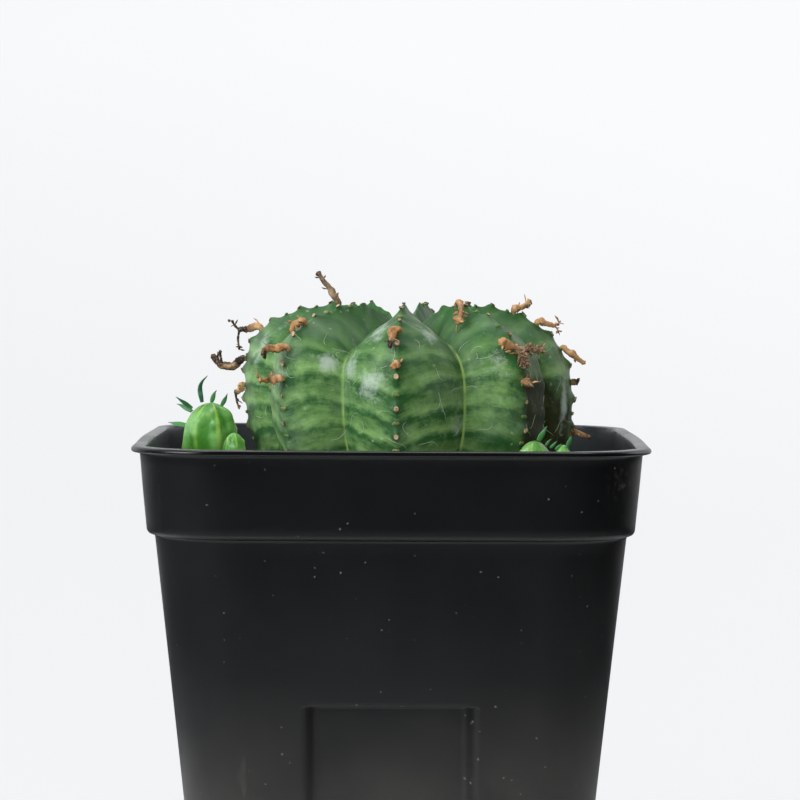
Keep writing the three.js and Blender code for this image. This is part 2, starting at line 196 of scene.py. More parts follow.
def ringsAlong(path, across, over, start=(0.0, 0.0, 1.0)):
    # Rings round a path, given how far each of their points lies across it and over it. The two directions
    # are square to the path and carried along it without twist.
    ahead = unit(np.gradient(path, axis=0))
    side = np.empty_like(path)
    side[0] = unit(np.cross(ahead[0], start) + 1e-6)
    for k in range(1, len(path)):
        side[k] = unit(side[k - 1] - ahead[k] * np.dot(side[k - 1], ahead[k]))
    up = np.cross(ahead, side)
    return path[:, None] + across[..., None] * side[:, None] + over[..., None] * up[:, None]


# Materials.


class Nodes:
    # a node tree under construction: short names for the nodes that every finish uses
    def __init__(self, tree):
        self.tree = tree

    def add(self, kind, settings=None, **inputs):
        # an input named n0, n1... is meant by its place, any other by its name
        made = self.tree.nodes.new("ShaderNode" + kind)
        for key, value in (settings or {}).items():
            setattr(made, key, value)
        for key, value in inputs.items():
            byPlace = key[0] == "n" and key[1:].isdigit()
            self.fill(made.inputs[int(key[1:]) if byPlace else key.replace("_", " ")], value)
        return made

    def fill(self, socket, value):
        if isinstance(value, bpy.types.NodeSocket):
            self.tree.links.new(value, socket)
        elif isinstance(value, tuple) and len(value) == 3 and socket.type == "RGBA":
            socket.default_value = (*value, 1)
        else:
            socket.default_value = value

    def place(self):
        return self.add("TexCoord").outputs["Object"]

    def math(self, operation, first, *others):
        for other in others or (0.0,):
            first = self.add("Math", {"operation": operation}, n0=first, n1=other).outputs[0]
        return first

    def plus(self, *values):
        return self.math("ADD", *values)

    def minus(self, *values):
        return self.math("SUBTRACT", *values)

    def times(self, *values):
        return self.math("MULTIPLY", *values)

    def most(self, *values):
        return self.math("MAXIMUM", *values)

    def around(self, value, amount):
        # a value from 0 to 1 turned into a sway to either side of nought
        return self.times(self.minus(value, 0.5), amount)

    def softStep(self, value, low, high):
        smooth = {"interpolation_type": "SMOOTHSTEP"}
        return self.add("MapRange", smooth, Value=value, From_Min=low, From_Max=high).outputs[0]


def newMask(name, **inputs):
    # a node group with number inputs and one mask as its output
    group = bpy.data.node_groups.new(name, "ShaderNodeTree")
    for label, value in inputs.items():
        socket = group.interface.new_socket(label, in_out="INPUT", socket_type="NodeSocketFloat")
        socket.default_value = value
    group.interface.new_socket("Mask", in_out="OUTPUT", socket_type="NodeSocketFloat")
    into, out = group.nodes.new("NodeGroupInput"), group.nodes.new("NodeGroupOutput")
    return Nodes(group), into.outputs, out.inputs[0]


def makePatches():
    # soft irregular patches: smooth noise cut off between two levels
    made, given, out = newMask("softPatches", Scale=100, From=0.45, To=0.65, Detail=4)
    noise = made.add("TexNoise", Vector=made.place(), Scale=given["Scale"], Detail=given["Detail"])
    made.fill(out, made.softStep(noise.outputs["Fac"], given["From"], given["To"]))
    return made.tree


def makeSpecks():
    # small separate specks: the middles of random cells, kept only where the cell's own random value is low
    made, given, out = newMask("fineSpecks", Scale=600, Size=0.2, Share=0.1)
    place = made.place()
    bent = made.add("TexNoise", Vector=place, Scale=900, Detail=1).outputs["Color"]
    moved = made.add("VectorMath", {"operation": "MULTIPLY_ADD"}, n0=bent, n1=(6e-4,) * 3, n2=place)
    cells = made.add("TexVoronoi", Vector=moved.outputs[0], Scale=given["Scale"])
    near = made.softStep(cells.outputs["Distance"], given["Size"], 0.0)
    chance = made.add("SeparateColor", Color=cells.outputs["Color"]).outputs[0]
    made.fill(out, made.times(near, made.math("LESS_THAN", chance, given["Share"])))
    return made.tree


patches, specks = makePatches(), makeSpecks()


class Finish(Nodes):
    # a material under construction
    def __init__(self, name, roughness=0.5):
        self.material = bpy.data.materials.new(name)
        self.material.use_nodes = True
        super().__init__(self.material.node_tree)
        self.shader = self.tree.nodes["Principled BSDF"]
        self.plug("Roughness", roughness)

    def mask(self, group, **inputs):
        return self.add("Group", {"node_tree": group}, **inputs).outputs[0]

    def patches(self, scale, low, high):
        return self.mask(patches, Scale=scale, From=low, To=high)

    def specks(self, scale, size, share):
        return self.mask(specks, Scale=scale, Size=size, Share=share)

    def attribute(self, name, output="Fac"):
        return self.add("Attribute", {"attribute_name": name}).outputs[output]

    def mix(self, share, first, second):
        return self.add("Mix", {"data_type": "RGBA"}, n0=share, n6=first, n7=second).outputs[2]

    def scaled(self, value, low, high, fromLow=0.0, fromHigh=1.0):
        span = {"From_Min": fromLow, "From_Max": fromHigh, "To_Min": low, "To_Max": high}
        return self.add("MapRange", Value=value, **span).outputs[0]

    def noise(self, scale, detail=3.0, roughness=0.5, stretch=None):
        place = self.place()
        if stretch:
            place = self.add("Mapping", Vector=place, Scale=stretch).outputs[0]
        soft = {"Scale": scale, "Detail": detail, "Roughness": roughness}
        return self.add("TexNoise", Vector=place, **soft).outputs["Fac"]

    def height(self):
        return self.add("SeparateXYZ", Vector=self.place()).outputs["Z"]

    def plug(self, socket, value):
        self.fill(self.shader.inputs[socket], value)

    def colour(self, value):
        self.plug("Base Color", value)

    def bump(self, height, depth, strength=1.0):
        # depth in mm
        bumped = self.add("Bump", Height=height, Distance=depth * mm, Strength=strength)
        self.plug("Normal", bumped.outputs[0])

    def flesh(self, weight, spread, scale):
        # light that soaks into living tissue
        self.plug("Subsurface Weight", weight)
        self.plug("Subsurface Radius", spread)
        self.plug("Subsurface Scale", scale)


plasticPlan = {
    "colour": (0.0028, 0.0030, 0.0033),
    "cloudy": (0.0052, 0.0055, 0.0060),
    "film": (0.036, 0.0335, 0.030),  # painted reflection of the pale table, near the ground
    "paintedTableReflectionFrom": (0.022, 0.050),  # metres up, from full to none
    # painted sheen: the whole inside of the pot gets this blue-grey
    "paintedInnerSheen": (0.034, 0.038, 0.043),
    "dust": (0.16, 0.155, 0.145),
    "roughness": (0.34, 0.44),
    "lipSmooth": 0.14, "lipFrom": (0.0888, 0.0894),  # how much smoother the lip is, and from where in metres
}


def blackPlastic(plan):
    made = Finish("blackPlastic")
    tone = made.mix(made.patches(38, 0.35, 0.75), plan["colour"], plan["cloudy"])
    dusty = made.times(made.specks(700, 0.19, 0.16), made.patches(60, 0.44, 0.57))
    scuffs = made.scaled(made.noise(300, 2, stretch=(1, 1, 0.16)), 0, 1, 0.71, 0.76)
    scuffed = made.times(scuffs, made.patches(45, 0.55, 0.7), 0.18)
    caught = made.times(made.specks(900, 0.3, 0.25), made.attribute("gritty"), made.patches(120, 0.5, 0.6))
    smudge = made.times(made.attribute("smudge"), made.patches(1000, 0.48, 0.70), 0.35)
    marks = made.most(dusty, caught, scuffed, smudge)
    # painted reflection of the pale table: lighter and warmer near the ground, in soft patches
    low = made.times(made.scaled(made.height(), 1, 0, *plan["paintedTableReflectionFrom"]),
                     made.scaled(made.noise(55, 4), 0.2, 1, 0.3, 0.7))
    # the inside of the pot is painted one blue-grey: painted sheen on the inner wall
    tone = made.mix(made.attribute("inner"), made.mix(low, tone, plan["film"]), plan["paintedInnerSheen"])
    made.colour(made.mix(marks, tone, plan["dust"]))
    rough = made.scaled(made.noise(70, 5), *plan["roughness"], 0.3, 0.7)
    lip = made.scaled(made.height(), 0, plan["lipSmooth"], *plan["lipFrom"])
    made.plug("Roughness", made.minus(made.plus(rough, made.times(marks, 0.35)), lip))
    made.bump(made.plus(made.noise(1900, 2), made.times(made.noise(90, 2), 3.0)), 0.012, 0.6)
    made.plug("Specular IOR Level", 0.5)
    return made.material


# The pot.

potPlan = {
    "height": 90.0, "lipHalf": 46.0, "lipReach": 1.3, "lipThick": 1.1,
    "collarLowHalf": 43.25, "collarHeight": 15.7,
    "bodyTopHalf": 42.0, "bodyLowHalf": 34.25,
    "wall": 1.1, "floor": 3.2,
    "cornerTop": 15.5, "cornerLow": 11.0, "sideBow": 0.45,
    "panelHalf": 12.4, "panelRamp": 3.1, "panelHeight": 45.2, "panelDeep": 2.6,
    "channelHalf": 12.0, "channelDeep": 1.8, "drainRadius": 1.9, "drainPitch": 9.0,
    "smudge": (41.0, -39.0, 84.5), "smudgeWide": 2.6,
    "stepsPerCorner": 16,
}


def potOutline(z, half, dent, inset, plan):
    # A rounded square: each side runs between corner arcs and bows out by a smooth hump, and its middle is
    # sunk by the dent with sloping flanks. Everything is drawn in by the inset. One row of points a height.
    z, half, dent, inset = (v[:, None] for v in (z, half, dent, inset))
    corner = plan["cornerLow"] + (plan["cornerTop"] - plan["cornerLow"]) * z / plan["height"] - inset
    flat = half - inset - plan["sideBow"] - corner
    panel = plan["panelHalf"]
    edge = panel + plan["panelRamp"]
    ramp = np.linspace(-edge - 0.3, -panel + 0.3, 12)
    fixed = np.sort(np.concatenate([ramp, -ramp, np.linspace(-panel + 1.2, panel - 1.2, 16)]))
    outer = -np.linspace(1, 0, 10, endpoint=False) * (flat - edge - 0.6) - edge - 0.6
    x = np.concatenate([outer, np.broadcast_to(fixed, (len(z), len(fixed))), -outer[:, ::-1]], 1)
    bow = plan["sideBow"] * (1 - (x / flat) ** 2) ** 2
    sunk = dent * stepUp(0, plan["panelRamp"], edge - np.abs(x))
    turn = np.linspace(0, np.pi / 2, plan["stepsPerCorner"] + 1)[1:-1]
    side = np.concatenate([x, flat + corner * np.sin(turn)], 1)
    away = np.concatenate([flat + corner + bow - sunk, flat + corner * np.cos(turn)], 1)
    quarters = []
    for k in range(4):
        c, s = math.cos(k * math.pi / 2), math.sin(k * math.pi / 2)
        level = np.broadcast_to(z, side.shape)
        quarters.append(np.stack([side * c + away * s, side * s - away * c, level], -1))
    return np.concatenate(quarters, 1)


def potShape(plan):
    # The wall's section as rows of (height, half width, dent, inset), from the middle of the base up the
    # outside, over the lip and down the inside to the floor. The outline turns each row into a ring.
    top, wall, ledge, floor = (plan[key] for key in ("height", "wall", "panelHeight", "floor"))
    step, under = top - plan["collarHeight"], top - plan["lipThick"]
    lip, collarTop = plan["lipHalf"], plan["lipHalf"] - plan["lipReach"]
    shelf = step + wall

    def body(z):
        return plan["bodyLowHalf"] + (plan["bodyTopHalf"] - plan["bodyLowHalf"]) * z / step

    def collar(z):
        return plan["collarLowHalf"] + (collarTop - plan["collarLowHalf"]) * (z - step) / plan["collarHeight"]

    def dent(z):
        return plan["panelDeep"] - 0.5 + 0.5 * z / ledge

    # the foot and the panels' height
    rows = [(z, body(0) - back, dent(0), 0) for z, back in ((0, 3), (0, 0.9), (0.1, 0.55), (0.3, 0.25))]
    rows += [(0.6, body(0.6) - 0.07, dent(0), 0)]
    rows += [(z, body(z), dent(z), 0) for z in np.linspace(0.9, ledge - 0.7, 14)]
    # the ledge over each panel, where its dent ends, and the plain wall above
    rows += [(ledge + up, body(ledge + up), dent(ledge) * sunk, 0) for up, sunk in (
        (-0.45, 1), (-0.3, 0.97), (-0.2, 0.55), (-0.12, 0.12), (0, 0.01), (0.15, 0))]
    rows += [(z, body(z), 0, 0) for z in np.linspace(ledge + 1, step - 0.6, 12)]
    # the step and the collar
    rows += [(step + up, body(step) + out, 0, 0) for up, out in ((-0.25, 0.02), (-0.08, 0.1), (0, 0.3))]
    rows += [(step + up, collar(step) - back, 0, 0) for up, back in (
        (0.03, 0.95), (0.1, 0.6), (0.28, 0.27), (0.55, 0.07))]
    rows += [(z, collar(z), 0, 0) for z in np.linspace(step + 0.9, under - 0.5, 10)]
    # the lip, from its underside over its rounded edge and its top
    rows += [(under + up, collarTop + out, 0, 0) for up, out in ((-0.06, 0), (0, 0.05), (0.02, 0.3))]
    rows += [(under + up, lip - back, 0, 0) for up, back in ((0.04, 0.35), (0.12, 0.16), (0.3, 0.02))]
    rows += [(top - down, lip - back, 0, 0) for down, back in (
        (0.62, 0), (0.42, 0.04), (0.25, 0.14), (0.12, 0.28), (0.03, 0.48), (0, 0.75))]
    rows += [(top - down, collarTop, 0, wall - less) for down, less in (
        (0, 0.55), (0.05, 0.3), (0.2, 0.1), (0.5, 0))]
    # the inside, down to the floor
    rows += [(z, collar(z), 0, wall) for z in np.linspace(top - 1.2, shelf + 0.3, 10)]
    rows += [(shelf + up, collar(step), 0, wall + more) for up, more in ((0.08, 0.15), (0, 0.6))]
    rows += [(shelf - down, body(step), 0, wall - less) for down, less in ((0.02, 0.2), (0.3, 0))]
    rows += [(z, body(z), 0, wall) for z in np.linspace(step, ledge + wall, 8)]
    rows += [(ledge + wall - 0.35, body(ledge), dent(ledge), wall)]
    rows += [(z, body(z), dent(z), wall) for z in np.linspace(ledge, floor + 0.6, 8)]
    rows += [(floor + up, body(3) - back, dent(3), wall) for up, back in ((0.1, 0.2), (0, 0.8))]
    z, half, sunk, inset = np.array(rows, float).T
    rings = potOutline(z, half, sunk, inset, plan)
    height = rings[..., 2]
    # a thin moulded wall is never quite true, but its foot and its lip are
    wave = 0.10 * np.sin(rings[..., 0] / 17 + 1.1) * np.sin(height / 23 + 0.4)
    wave = wave * stepUp(6, 20, height) * (1 - stepUp(82, 88, height))
    away = unit(rings * np.array([1, 1, 0]))
    # grit gathers in the panels' corners: along their flanks and under their ledges
    across = np.abs(rings[..., :2]).min(-1)
    flank = np.abs(across - plan["panelHalf"] - plan["panelRamp"] / 2) < plan["panelRamp"] / 2
    gritty = flank & (height < ledge) | (np.abs(height - ledge) < 0.5) & (across < plan["panelHalf"])
    # and a smudge of dust clings to the collar's right-hand front corner
    smudge = hump(np.linalg.norm(rings - plan["smudge"], axis=-1), plan["smudgeWide"])
    inner = (inset > 0)[:, None] * 1.0
    return skinOf(rings + away * wave[..., None], inner=inner, gritty=gritty * 1.0, smudge=smudge)


def cutFoot(pot, plan):
    # the cross of drain channels under the floor, and the drain holes along it
    arm, half, deep, below = plan["lipHalf"], plan["channelHalf"], plan["channelDeep"], -5.0
    square = np.array([(-1, -1), (1, -1), (1, 1), (-1, 1)], float)
    outlines = [(square * sides, below, deep) for sides in ((arm, half), (half, arm))]
    turn = turnsOf(32)
    circle = np.column_stack([np.cos(turn), np.sin(turn)]) * plan["drainRadius"]
    for spot in [(k, 0) for k in range(-2, 3)] + [(0, k) for k in (-2, -1, 1, 2)]:
        outlines.append((circle + np.array(spot) * plan["drainPitch"], below - 1, 2 * plan["floor"] - 0.4))
    for outline, low, high in outlines:
        shape = skinOf(np.stack([np.column_stack([outline, np.full(len(outline), z)]) for z in (low, high)]))
        cutter = bpy.data.meshes.new("cutter")
        faces = shape["quads"].tolist() + shape["tris"].tolist()
        cutter.from_pydata((shape["points"] * mm).tolist(), [], faces)
        tool = bpy.data.objects.new("cutter", cutter)
        scene.collection.objects.link(tool)
        cut = pot.modifiers.new("cut", "BOOLEAN")
        cut.object, cut.operation, cut.solver = tool, "DIFFERENCE", "EXACT"
        bpy.context.view_layer.update()
        finished = bpy.data.meshes.new_from_object(pot.evaluated_get(bpy.context.evaluated_depsgraph_get()))
        pot.modifiers.clear()
        old, pot.data = pot.data, finished
        bpy.data.meshes.remove(old)
        bpy.data.objects.remove(tool)
        bpy.data.meshes.remove(cutter)
    pot.data.shade_smooth()
    pot.data.set_sharp_from_angle(angle=math.radians(35))


pot = makePiece("nurseryPot", potShape(potPlan), blackPlastic(plasticPlan), ["pot"])
cutFoot(pot, potPlan)
print("pot made,", len(pot.data.polygons), "faces")

# The stem.

stemPlan = {
    "radius": 30.45, "up": 17.0, "down": 26.0, "fullUp": 2.9, "fullDown": 2.2,
    "furrow": 6.2, "furrowFull": 12.0, "crownDip": 4.6, "crownWide": 7.4,
    "rootTip": -60.0, "rootNeck": -21.0, "rootRadius": 8.5,
    "place": (3.0, 0.0, 97.6), "slant": 0.065,
    "ribs": (-100, -46.5, -4, 42, 97, 131, 168, 215),  # degrees from the front, towards +X
    "furrows": (-75, -28.5, 24, 75, 114, 149, 192, 236),  # the furrow after each rib
    "budPhase": (0.9, 0.38, 0.2, 0.7, 0.7, 0.8, 0.5, 0.3),  # where each rib's buds sit along it
    "pitchUp": 5.9, "pitchDown": 4.8,  # from one leaf scar to the next, above and below the widest level
    "columnsPerRib": 52, "crowding": 1.45, "rows": 224, "rootRows": 24, "soilLevel": -16.5,
    "toothHeight": 0.62, "budHeight": 0.25, "swelling": 0.25,
    "archHeight": 2.6,  # how much higher a colour band lies in the furrow than at the crest
    # spots as (azimuth, level, half its width in degrees, half its height in mm, amount)
    # deeper green, partly painted shade: the spots at 2 and 34 degrees stand for the shade beside crest B and
    # on rib C's low left flank
    "deepGreenAndShadeSpots": ((34, -10, 9, 6, 0.9), (-44, 13, 10, 4, 0.7), (-6, -12, 5, 5, 0.5), (2, 5, 4, 8, 0.5),
                  (-40, -12, 9, 4, 0.5), (60, 13, 9, 4, 0.5), (140, 0, 10, 7, 0.6), (225, -6, 9, 7, 0.6)),
    # wax spots, partly painted sheen: the spot at 88 degrees is a painted reflection, a pale streak on rib
    # D's left flank
    "waxAndSheenSpots": ((-33, 6.5, 3.5, 3.0, 1.0), (-23, 6.5, 4, 3.5, 1.0), (-13, 3, 6, 2.8, 1.1),
                 (-14, 13.5, 5, 2.5, 0.8), (88, 1, 2.5, 5, 1.1), (-50, 4, 4, 4, 0.7), (-66, 7, 7, 5, 0.6),
                 (-70, -4, 5, 6, 0.6), (9, 13.5, 6, 2.5, 0.8), (-62, 3, 5, 4, 0.5), (20, -3, 5, 5, 0.5),
                 (34, 7, 5, 4, 0.6), (120, 5, 8, 5, 0.8), (158, 8, 8, 4, 0.8), (204, 2, 8, 6, 0.7),
                 (-88, 9, 6, 4, 0.7)),
}


def stemProfile(plan):
    # The crest line from root tip to growing point. Below the widest level it is the larger of a superellipse
    # and a tapering root; above, a superellipse less a soft dip at the crown. Lengths along it count from the
    # widest level.
    t = np.linspace(0, 1, 6000)
    below = 0.42  # the part of the samples that lies below the widest level
    height = plan["rootTip"] * np.maximum(1 - t / below, 0) ** 1.3
    level = np.minimum(1, -height / plan["down"])
    ball = plan["radius"] * (1 - level ** plan["fullDown"]) ** (1 / plan["fullDown"])
    taper = np.clip((height - plan["rootTip"]) / (plan["rootNeck"] - plan["rootTip"]), 0, 1)
    radius = np.maximum(ball, plan["rootRadius"] * taper**0.8)
    turn = np.clip((t - below) / (1 - below), 0, 1) * np.pi / 2
    upRadius = plan["radius"] * np.maximum(np.cos(turn), 0) ** (2 / plan["fullUp"])
    upHeight = plan["up"] * np.sin(turn) ** (2 / plan["fullUp"])
    upHeight = upHeight - plan["crownDip"] * hump(upRadius, plan["crownWide"])
    radius, height = np.where(t < below, radius, upRadius), np.where(t < below, height, upHeight)
    line = np.stack([radius, height], -1)
    length = wayAlong(line)
    length -= np.interp(0, height[t < 0.5], length[t < 0.5])
    way = unit(np.gradient(line, axis=0))
    return {"length": length, "radius": radius, "height": height, "outR": way[:, 1], "outZ": -way[:, 0]}


profile = stemProfile(stemPlan)


def onProfile(length):
    return {key: np.interp(length, profile["length"], values) for key, values in profile.items()}


def lengthAt(height):
    # the length along the crest line at a height, below the crown's dip
    rising = slice(0, int(np.argmax(profile["height"])))
    return np.interp(height, profile["height"][rising], profile["length"][rising])


def standUp(points, height, plan):
    # From the stem's own frame to the object's. Points on the +X side are lowered, most at the widest level
    # and not at all at the crown and root.
    part = np.minimum(1, np.abs(height) / np.where(height > 0, plan["up"], plan["down"]))
    x, y, z = np.moveaxis(np.asarray(points, float), -1, 0)
    z = z - plan["slant"] * x * (1 - part**2)
    return np.stack([x, y, z], -1) + np.array(plan["place"])


def onStem(length, azimuth, plan, lift=0.0):
    # A point of the stem's surface from its length along the profile and its azimuth in degrees. Between two
    # crests the surface is drawn in along the normal by the furrow's depth times (f s + (1 - f) s^3), where s
    # goes from 0 at a crest to 1 in a furrow and f from 0.95 near the crown to 0.6 lower down. On the crests
    # stand teeth, one at each leaf scar and a lower one at each bud, and the flesh swells round each bud.
    length, azimuth = np.broadcast_arrays(np.asarray(length, float), np.asarray(azimuth, float))
    ribs = np.array(plan["ribs"] + (plan["ribs"][0] + 360,), float)
    furrows = np.array(plan["furrows"], float)
    turned = (azimuth - ribs[0]) % 360 + ribs[0]
    k = np.clip(np.searchsorted(ribs, turned, side="right") - 1, 0, len(furrows) - 1)
    rising = turned < furrows[k]
    half = np.where(rising, furrows[k] - ribs[k], ribs[k + 1] - furrows[k])
    share = np.where(rising, turned - ribs[k], ribs[k + 1] - turned) / half
    at = onProfile(length)
    neck, soil = plan["rootNeck"], plan["soilLevel"]
    deep = plan["furrow"] * np.minimum(1, at["radius"] / plan["furrowFull"])
    deep = deep * stepUp(neck - 2, neck + 9, at["height"])
    soft = np.sqrt(share**2 + 0.02**2) - 0.02  # the crest's edge is a little rounded
    flat = 0.95 - 0.35 * stepUp(14, 24, at["radius"])
    inward = deep * (flat * soft + (1 - flat) * soft**3)
    aside = share * np.radians(half) * at["radius"]
    pitch = np.where(length > 0, plan["pitchUp"], plan["pitchDown"])
    phase = length / pitch - np.interp(turned, ribs, plan["budPhase"] + plan["budPhase"][:1])
    fromScar = (phase - np.floor(phase) - 0.5) * pitch
    fromBud = (phase - np.round(phase)) * pitch
    alive = stepUp(3.5, 9, at["radius"]) * stepUp(soil - 2, soil + 1, at["height"])
    teeth = plan["toothHeight"] * hump(aside, 0.7) * hump(fromScar - 0.25, 0.85)
    teeth = teeth + plan["budHeight"] * hump(aside, 0.8) * hump(fromBud, 0.8)
    swell = plan["swelling"] * hump(aside, 2.4) * (0.5 - 0.5 * np.cos(2 * np.pi * phase))
    ripple = 0.12 * np.sin(2 * np.pi * (phase + 0.3 * share)) * np.clip(4 * share * (1 - share), 0, 1)
    lumps = 0.25 * np.sin(turned / 7.3 + length / 6.1) * np.sin(turned / 11.9 - length / 9.3 + 1)
    out = alive * (teeth + swell + ripple + lumps * np.clip(3 * share, 0, 1)) - inward + lift
    radius = np.maximum(at["radius"] + out * at["outR"], 0.02)
    turn = np.radians(azimuth)
    points = [radius * np.sin(turn), -radius * np.cos(turn), at["height"] + out * at["outZ"]]
    arch = plan["archHeight"] * np.sin(np.pi * np.clip(share * 0.68, 0, 1)) / pitch
    marks = {"band": phase - arch, "share": share, "aside": aside, "level": at["height"], "azimuth": turned}
    return standUp(np.stack(points, -1), at["height"], plan), marks


def stemShape(plan):
    # columns stand closest together at the crests: their spacing grows as a power of the way to a furrow
    ribs, furrows = (np.array(plan[key], float)[:, None] for key in ("ribs", "furrows"))
    following = np.append(ribs[1:], ribs[:1] + 360, 0)
    way = np.linspace(0, 1, plan["columnsPerRib"] // 2, endpoint=False)
    falling, rising = way ** plan["crowding"], 1 - (1 - way) ** plan["crowding"]
    azimuth = np.concatenate([ribs + (furrows - ribs) * falling, furrows + (following - furrows) * rising], 1)
    soilLength = lengthAt(plan["soilLevel"])
    root = np.linspace(profile["length"][0], soilLength, plan["rootRows"], endpoint=False)
    shown = np.linspace(soilLength, profile["length"][-1] - 0.15, plan["rows"] - plan["rootRows"])
    points, marks = onStem(np.concatenate([root, shown])[:, None], azimuth.ravel()[None, :], plan)
    # wax that has not been rubbed off, partly painted sheen, and deeper green, partly painted shade: soft
    # ovals
    for mark in ("waxAndSheenSpots", "deepGreenAndShadeSpots"):
        marks[mark] = np.zeros(points.shape[:2])
        for turn, level, wide, tall, amount in plan[mark]:
            away = ((marks["azimuth"] - turn) / wide) ** 2 + ((marks["level"] - level) / tall) ** 2
            marks[mark] = np.maximum(marks[mark], amount * np.exp(-away))
    return skinOf(points, **marks)


stemColours = {
    "dark": (0.028, 0.104, 0.028),
    "light": (0.255, 0.450, 0.150),
    "bloomAndSheen": (0.50, 0.60, 0.50),
    "furrow": (0.38, 0.56, 0.16),
    # the old skin's dark colours, partly painted shade
    "aged": (0.020, 0.023, 0.006),
    "agedAndShadedPale": (0.052, 0.054, 0.017),
    "agedLine": (0.34, 0.34, 0.24),
    "dots": (0.46, 0.56, 0.42),
    "crown": (0.040, 0.135, 0.036),
    "deep": (0.020, 0.075, 0.018),
}


def stemSkin(tones):
    made = Finish("stemSkin")
    marks = ("share", "aside", "level", "azimuth", "band")
    share, aside, level, azimuth, band = (made.attribute(mark) for mark in marks)
    # the bands: sine waves over a phase that soft noise bends
    bent = made.plus(made.around(made.noise(60, 4), 1.2), made.around(made.noise(320, 3), 0.5))
    phase = made.times(made.plus(band, bent), 2 * math.pi)
    broad = made.times(made.math("SINE", phase), made.scaled(made.noise(48, 2), 0.12, 0.40, 0.35, 0.65))
    narrow = made.times(made.math("SINE", made.times(phase, 2.0)), 0.11)
    # fine streaks that follow the bands: noise over band, share and azimuth, drawn out along the band
    x, y, z = made.times(band, 5.0), made.times(share, 1.6), made.times(azimuth, 0.05)
    lay = made.add("CombineXYZ", X=x, Y=y, Z=z).outputs[0]
    drawn = made.add("TexNoise", Vector=lay, Scale=2.2, Detail=4.0, Roughness=0.6).outputs["Fac"]
    grained, patchy = made.around(made.noise(450, 5, 0.7), 1.5), made.around(made.noise(85, 3), 0.9)
    amount = made.plus(broad, narrow, 0.43, made.around(drawn, 0.8), grained, patchy)
    # the bands are darkened within 3 mm of each crest, most within 0.4 mm: painted shade beside the crests
    banded = made.mix(made.minus(amount, made.scaled(aside, 0.4, 0, 0.4, 3.0)), tones["dark"], tones["light"])
    # deeper green in soft spots, partly painted shade where one rib shades the next
    deeper = made.mix(made.times(made.attribute("deepGreenAndShadeSpots"), 0.8), banded, tones["deep"])
    toned = made.mix(made.times(made.scaled(level, 0, 1, 6, 14), 0.7), deeper, tones["crown"])
    # the old corky skin low on the shaded side: its dark olive brown is partly the skin's own colour and
    # partly painted shade
    side = made.scaled(made.math("ABSOLUTE", made.minus(azimuth, 68)), 1, 0, 24, 29)
    spread = made.plus(made.scaled(made.noise(120, 3), -3, 3, 0.3, 0.7), made.scaled(azimuth, 0, 7, 74, 95))
    old = made.times(side, made.scaled(made.plus(level, spread), 1, 0, 4, 10), 0.95)
    aged = made.mix(old, toned, made.mix(made.patches(420, 0.50, 0.70), tones["aged"], tones["agedAndShadedPale"]))
    # the waxy bloom: a faint veil in patches, and thick where it has not been rubbed off; the thick spots are
    # partly painted sheen
    veil = made.times(made.patches(90, 0.45, 0.75), made.scaled(old, 0.14, 0.02))
    ragged = made.plus(made.times(made.attribute("waxAndSheenSpots"), 0.32), made.noise(330, 8, 0.8))
    thick = made.times(made.scaled(ragged, 0, 1, 0.60, 0.86), 0.9)
    waxed = made.mix(made.most(veil, thick), aged, tones["bloomAndSheen"])
    # the line in each furrow, and pale dots
    broken = made.scaled(made.noise(200, 3), 0.15, 1.0, 0.38, 0.62)
    line = made.times(made.scaled(share, 0, 1, 0.966, 0.992), broken)
    lined = made.mix(line, waxed, made.mix(old, tones["furrow"], tones["agedLine"]))
    dots = made.times(made.most(made.specks(650, 0.25, 0.14), made.specks(330, 0.16, 0.10)), 0.5)
    made.colour(made.mix(dots, lined, tones["dots"]))
    rough = made.scaled(made.plus(thick, made.noise(180, 2)), 0.36, 0.6, 0.3, 1.3)
    made.plug("Roughness", made.plus(rough, made.times(old, 0.3)))
    made.plug("Specular IOR Level", 0.22)
    made.bump(made.plus(made.noise(1400, 3), made.times(made.noise(330, 3), 1.6)), 0.04, 0.8)
    made.flesh(0.05, (0.6, 1.0, 0.3), 0.001)
    return made.material


stem = makePiece("ribbedStem", stemShape(stemPlan), stemSkin(stemColours), ["stem"])
print("stem made,", len(stem.data.polygons), "faces")

# Leaf scars and buds along the crests.


def crestSpots(rib, half, plan):
    # lengths along a rib's crest of its buds (half = 0) or its leaf scars (half = 0.5), above the soil
    count = np.arange(-6, 8) + half + plan["budPhase"][rib]
    length = np.where(count > 0, count * plan["pitchUp"], count * plan["pitchDown"])
    top = profile["length"][int(np.argmax(profile["height"]))]
    return length[(length > lengthAt(plan["soilLevel"] + 1.5)) & (length < top + 1.0)]


def crestFrames(lengths, rib, plan):
    # where pieces sit on a crest, with the ways out, aside and up along the crest there
    azimuth = plan["ribs"][rib]
    below, place, above = (onStem(lengths + shift, azimuth, plan)[0] for shift in (-0.4, 0.0, 0.4))
    up = unit(above - below)
    turn = math.radians(azimuth)
    aside = np.broadcast_to([math.cos(turn), math.sin(turn), 0.0], up.shape)
    out = unit(np.cross(aside, up))
    return place, out, aside, np.cross(out, aside)


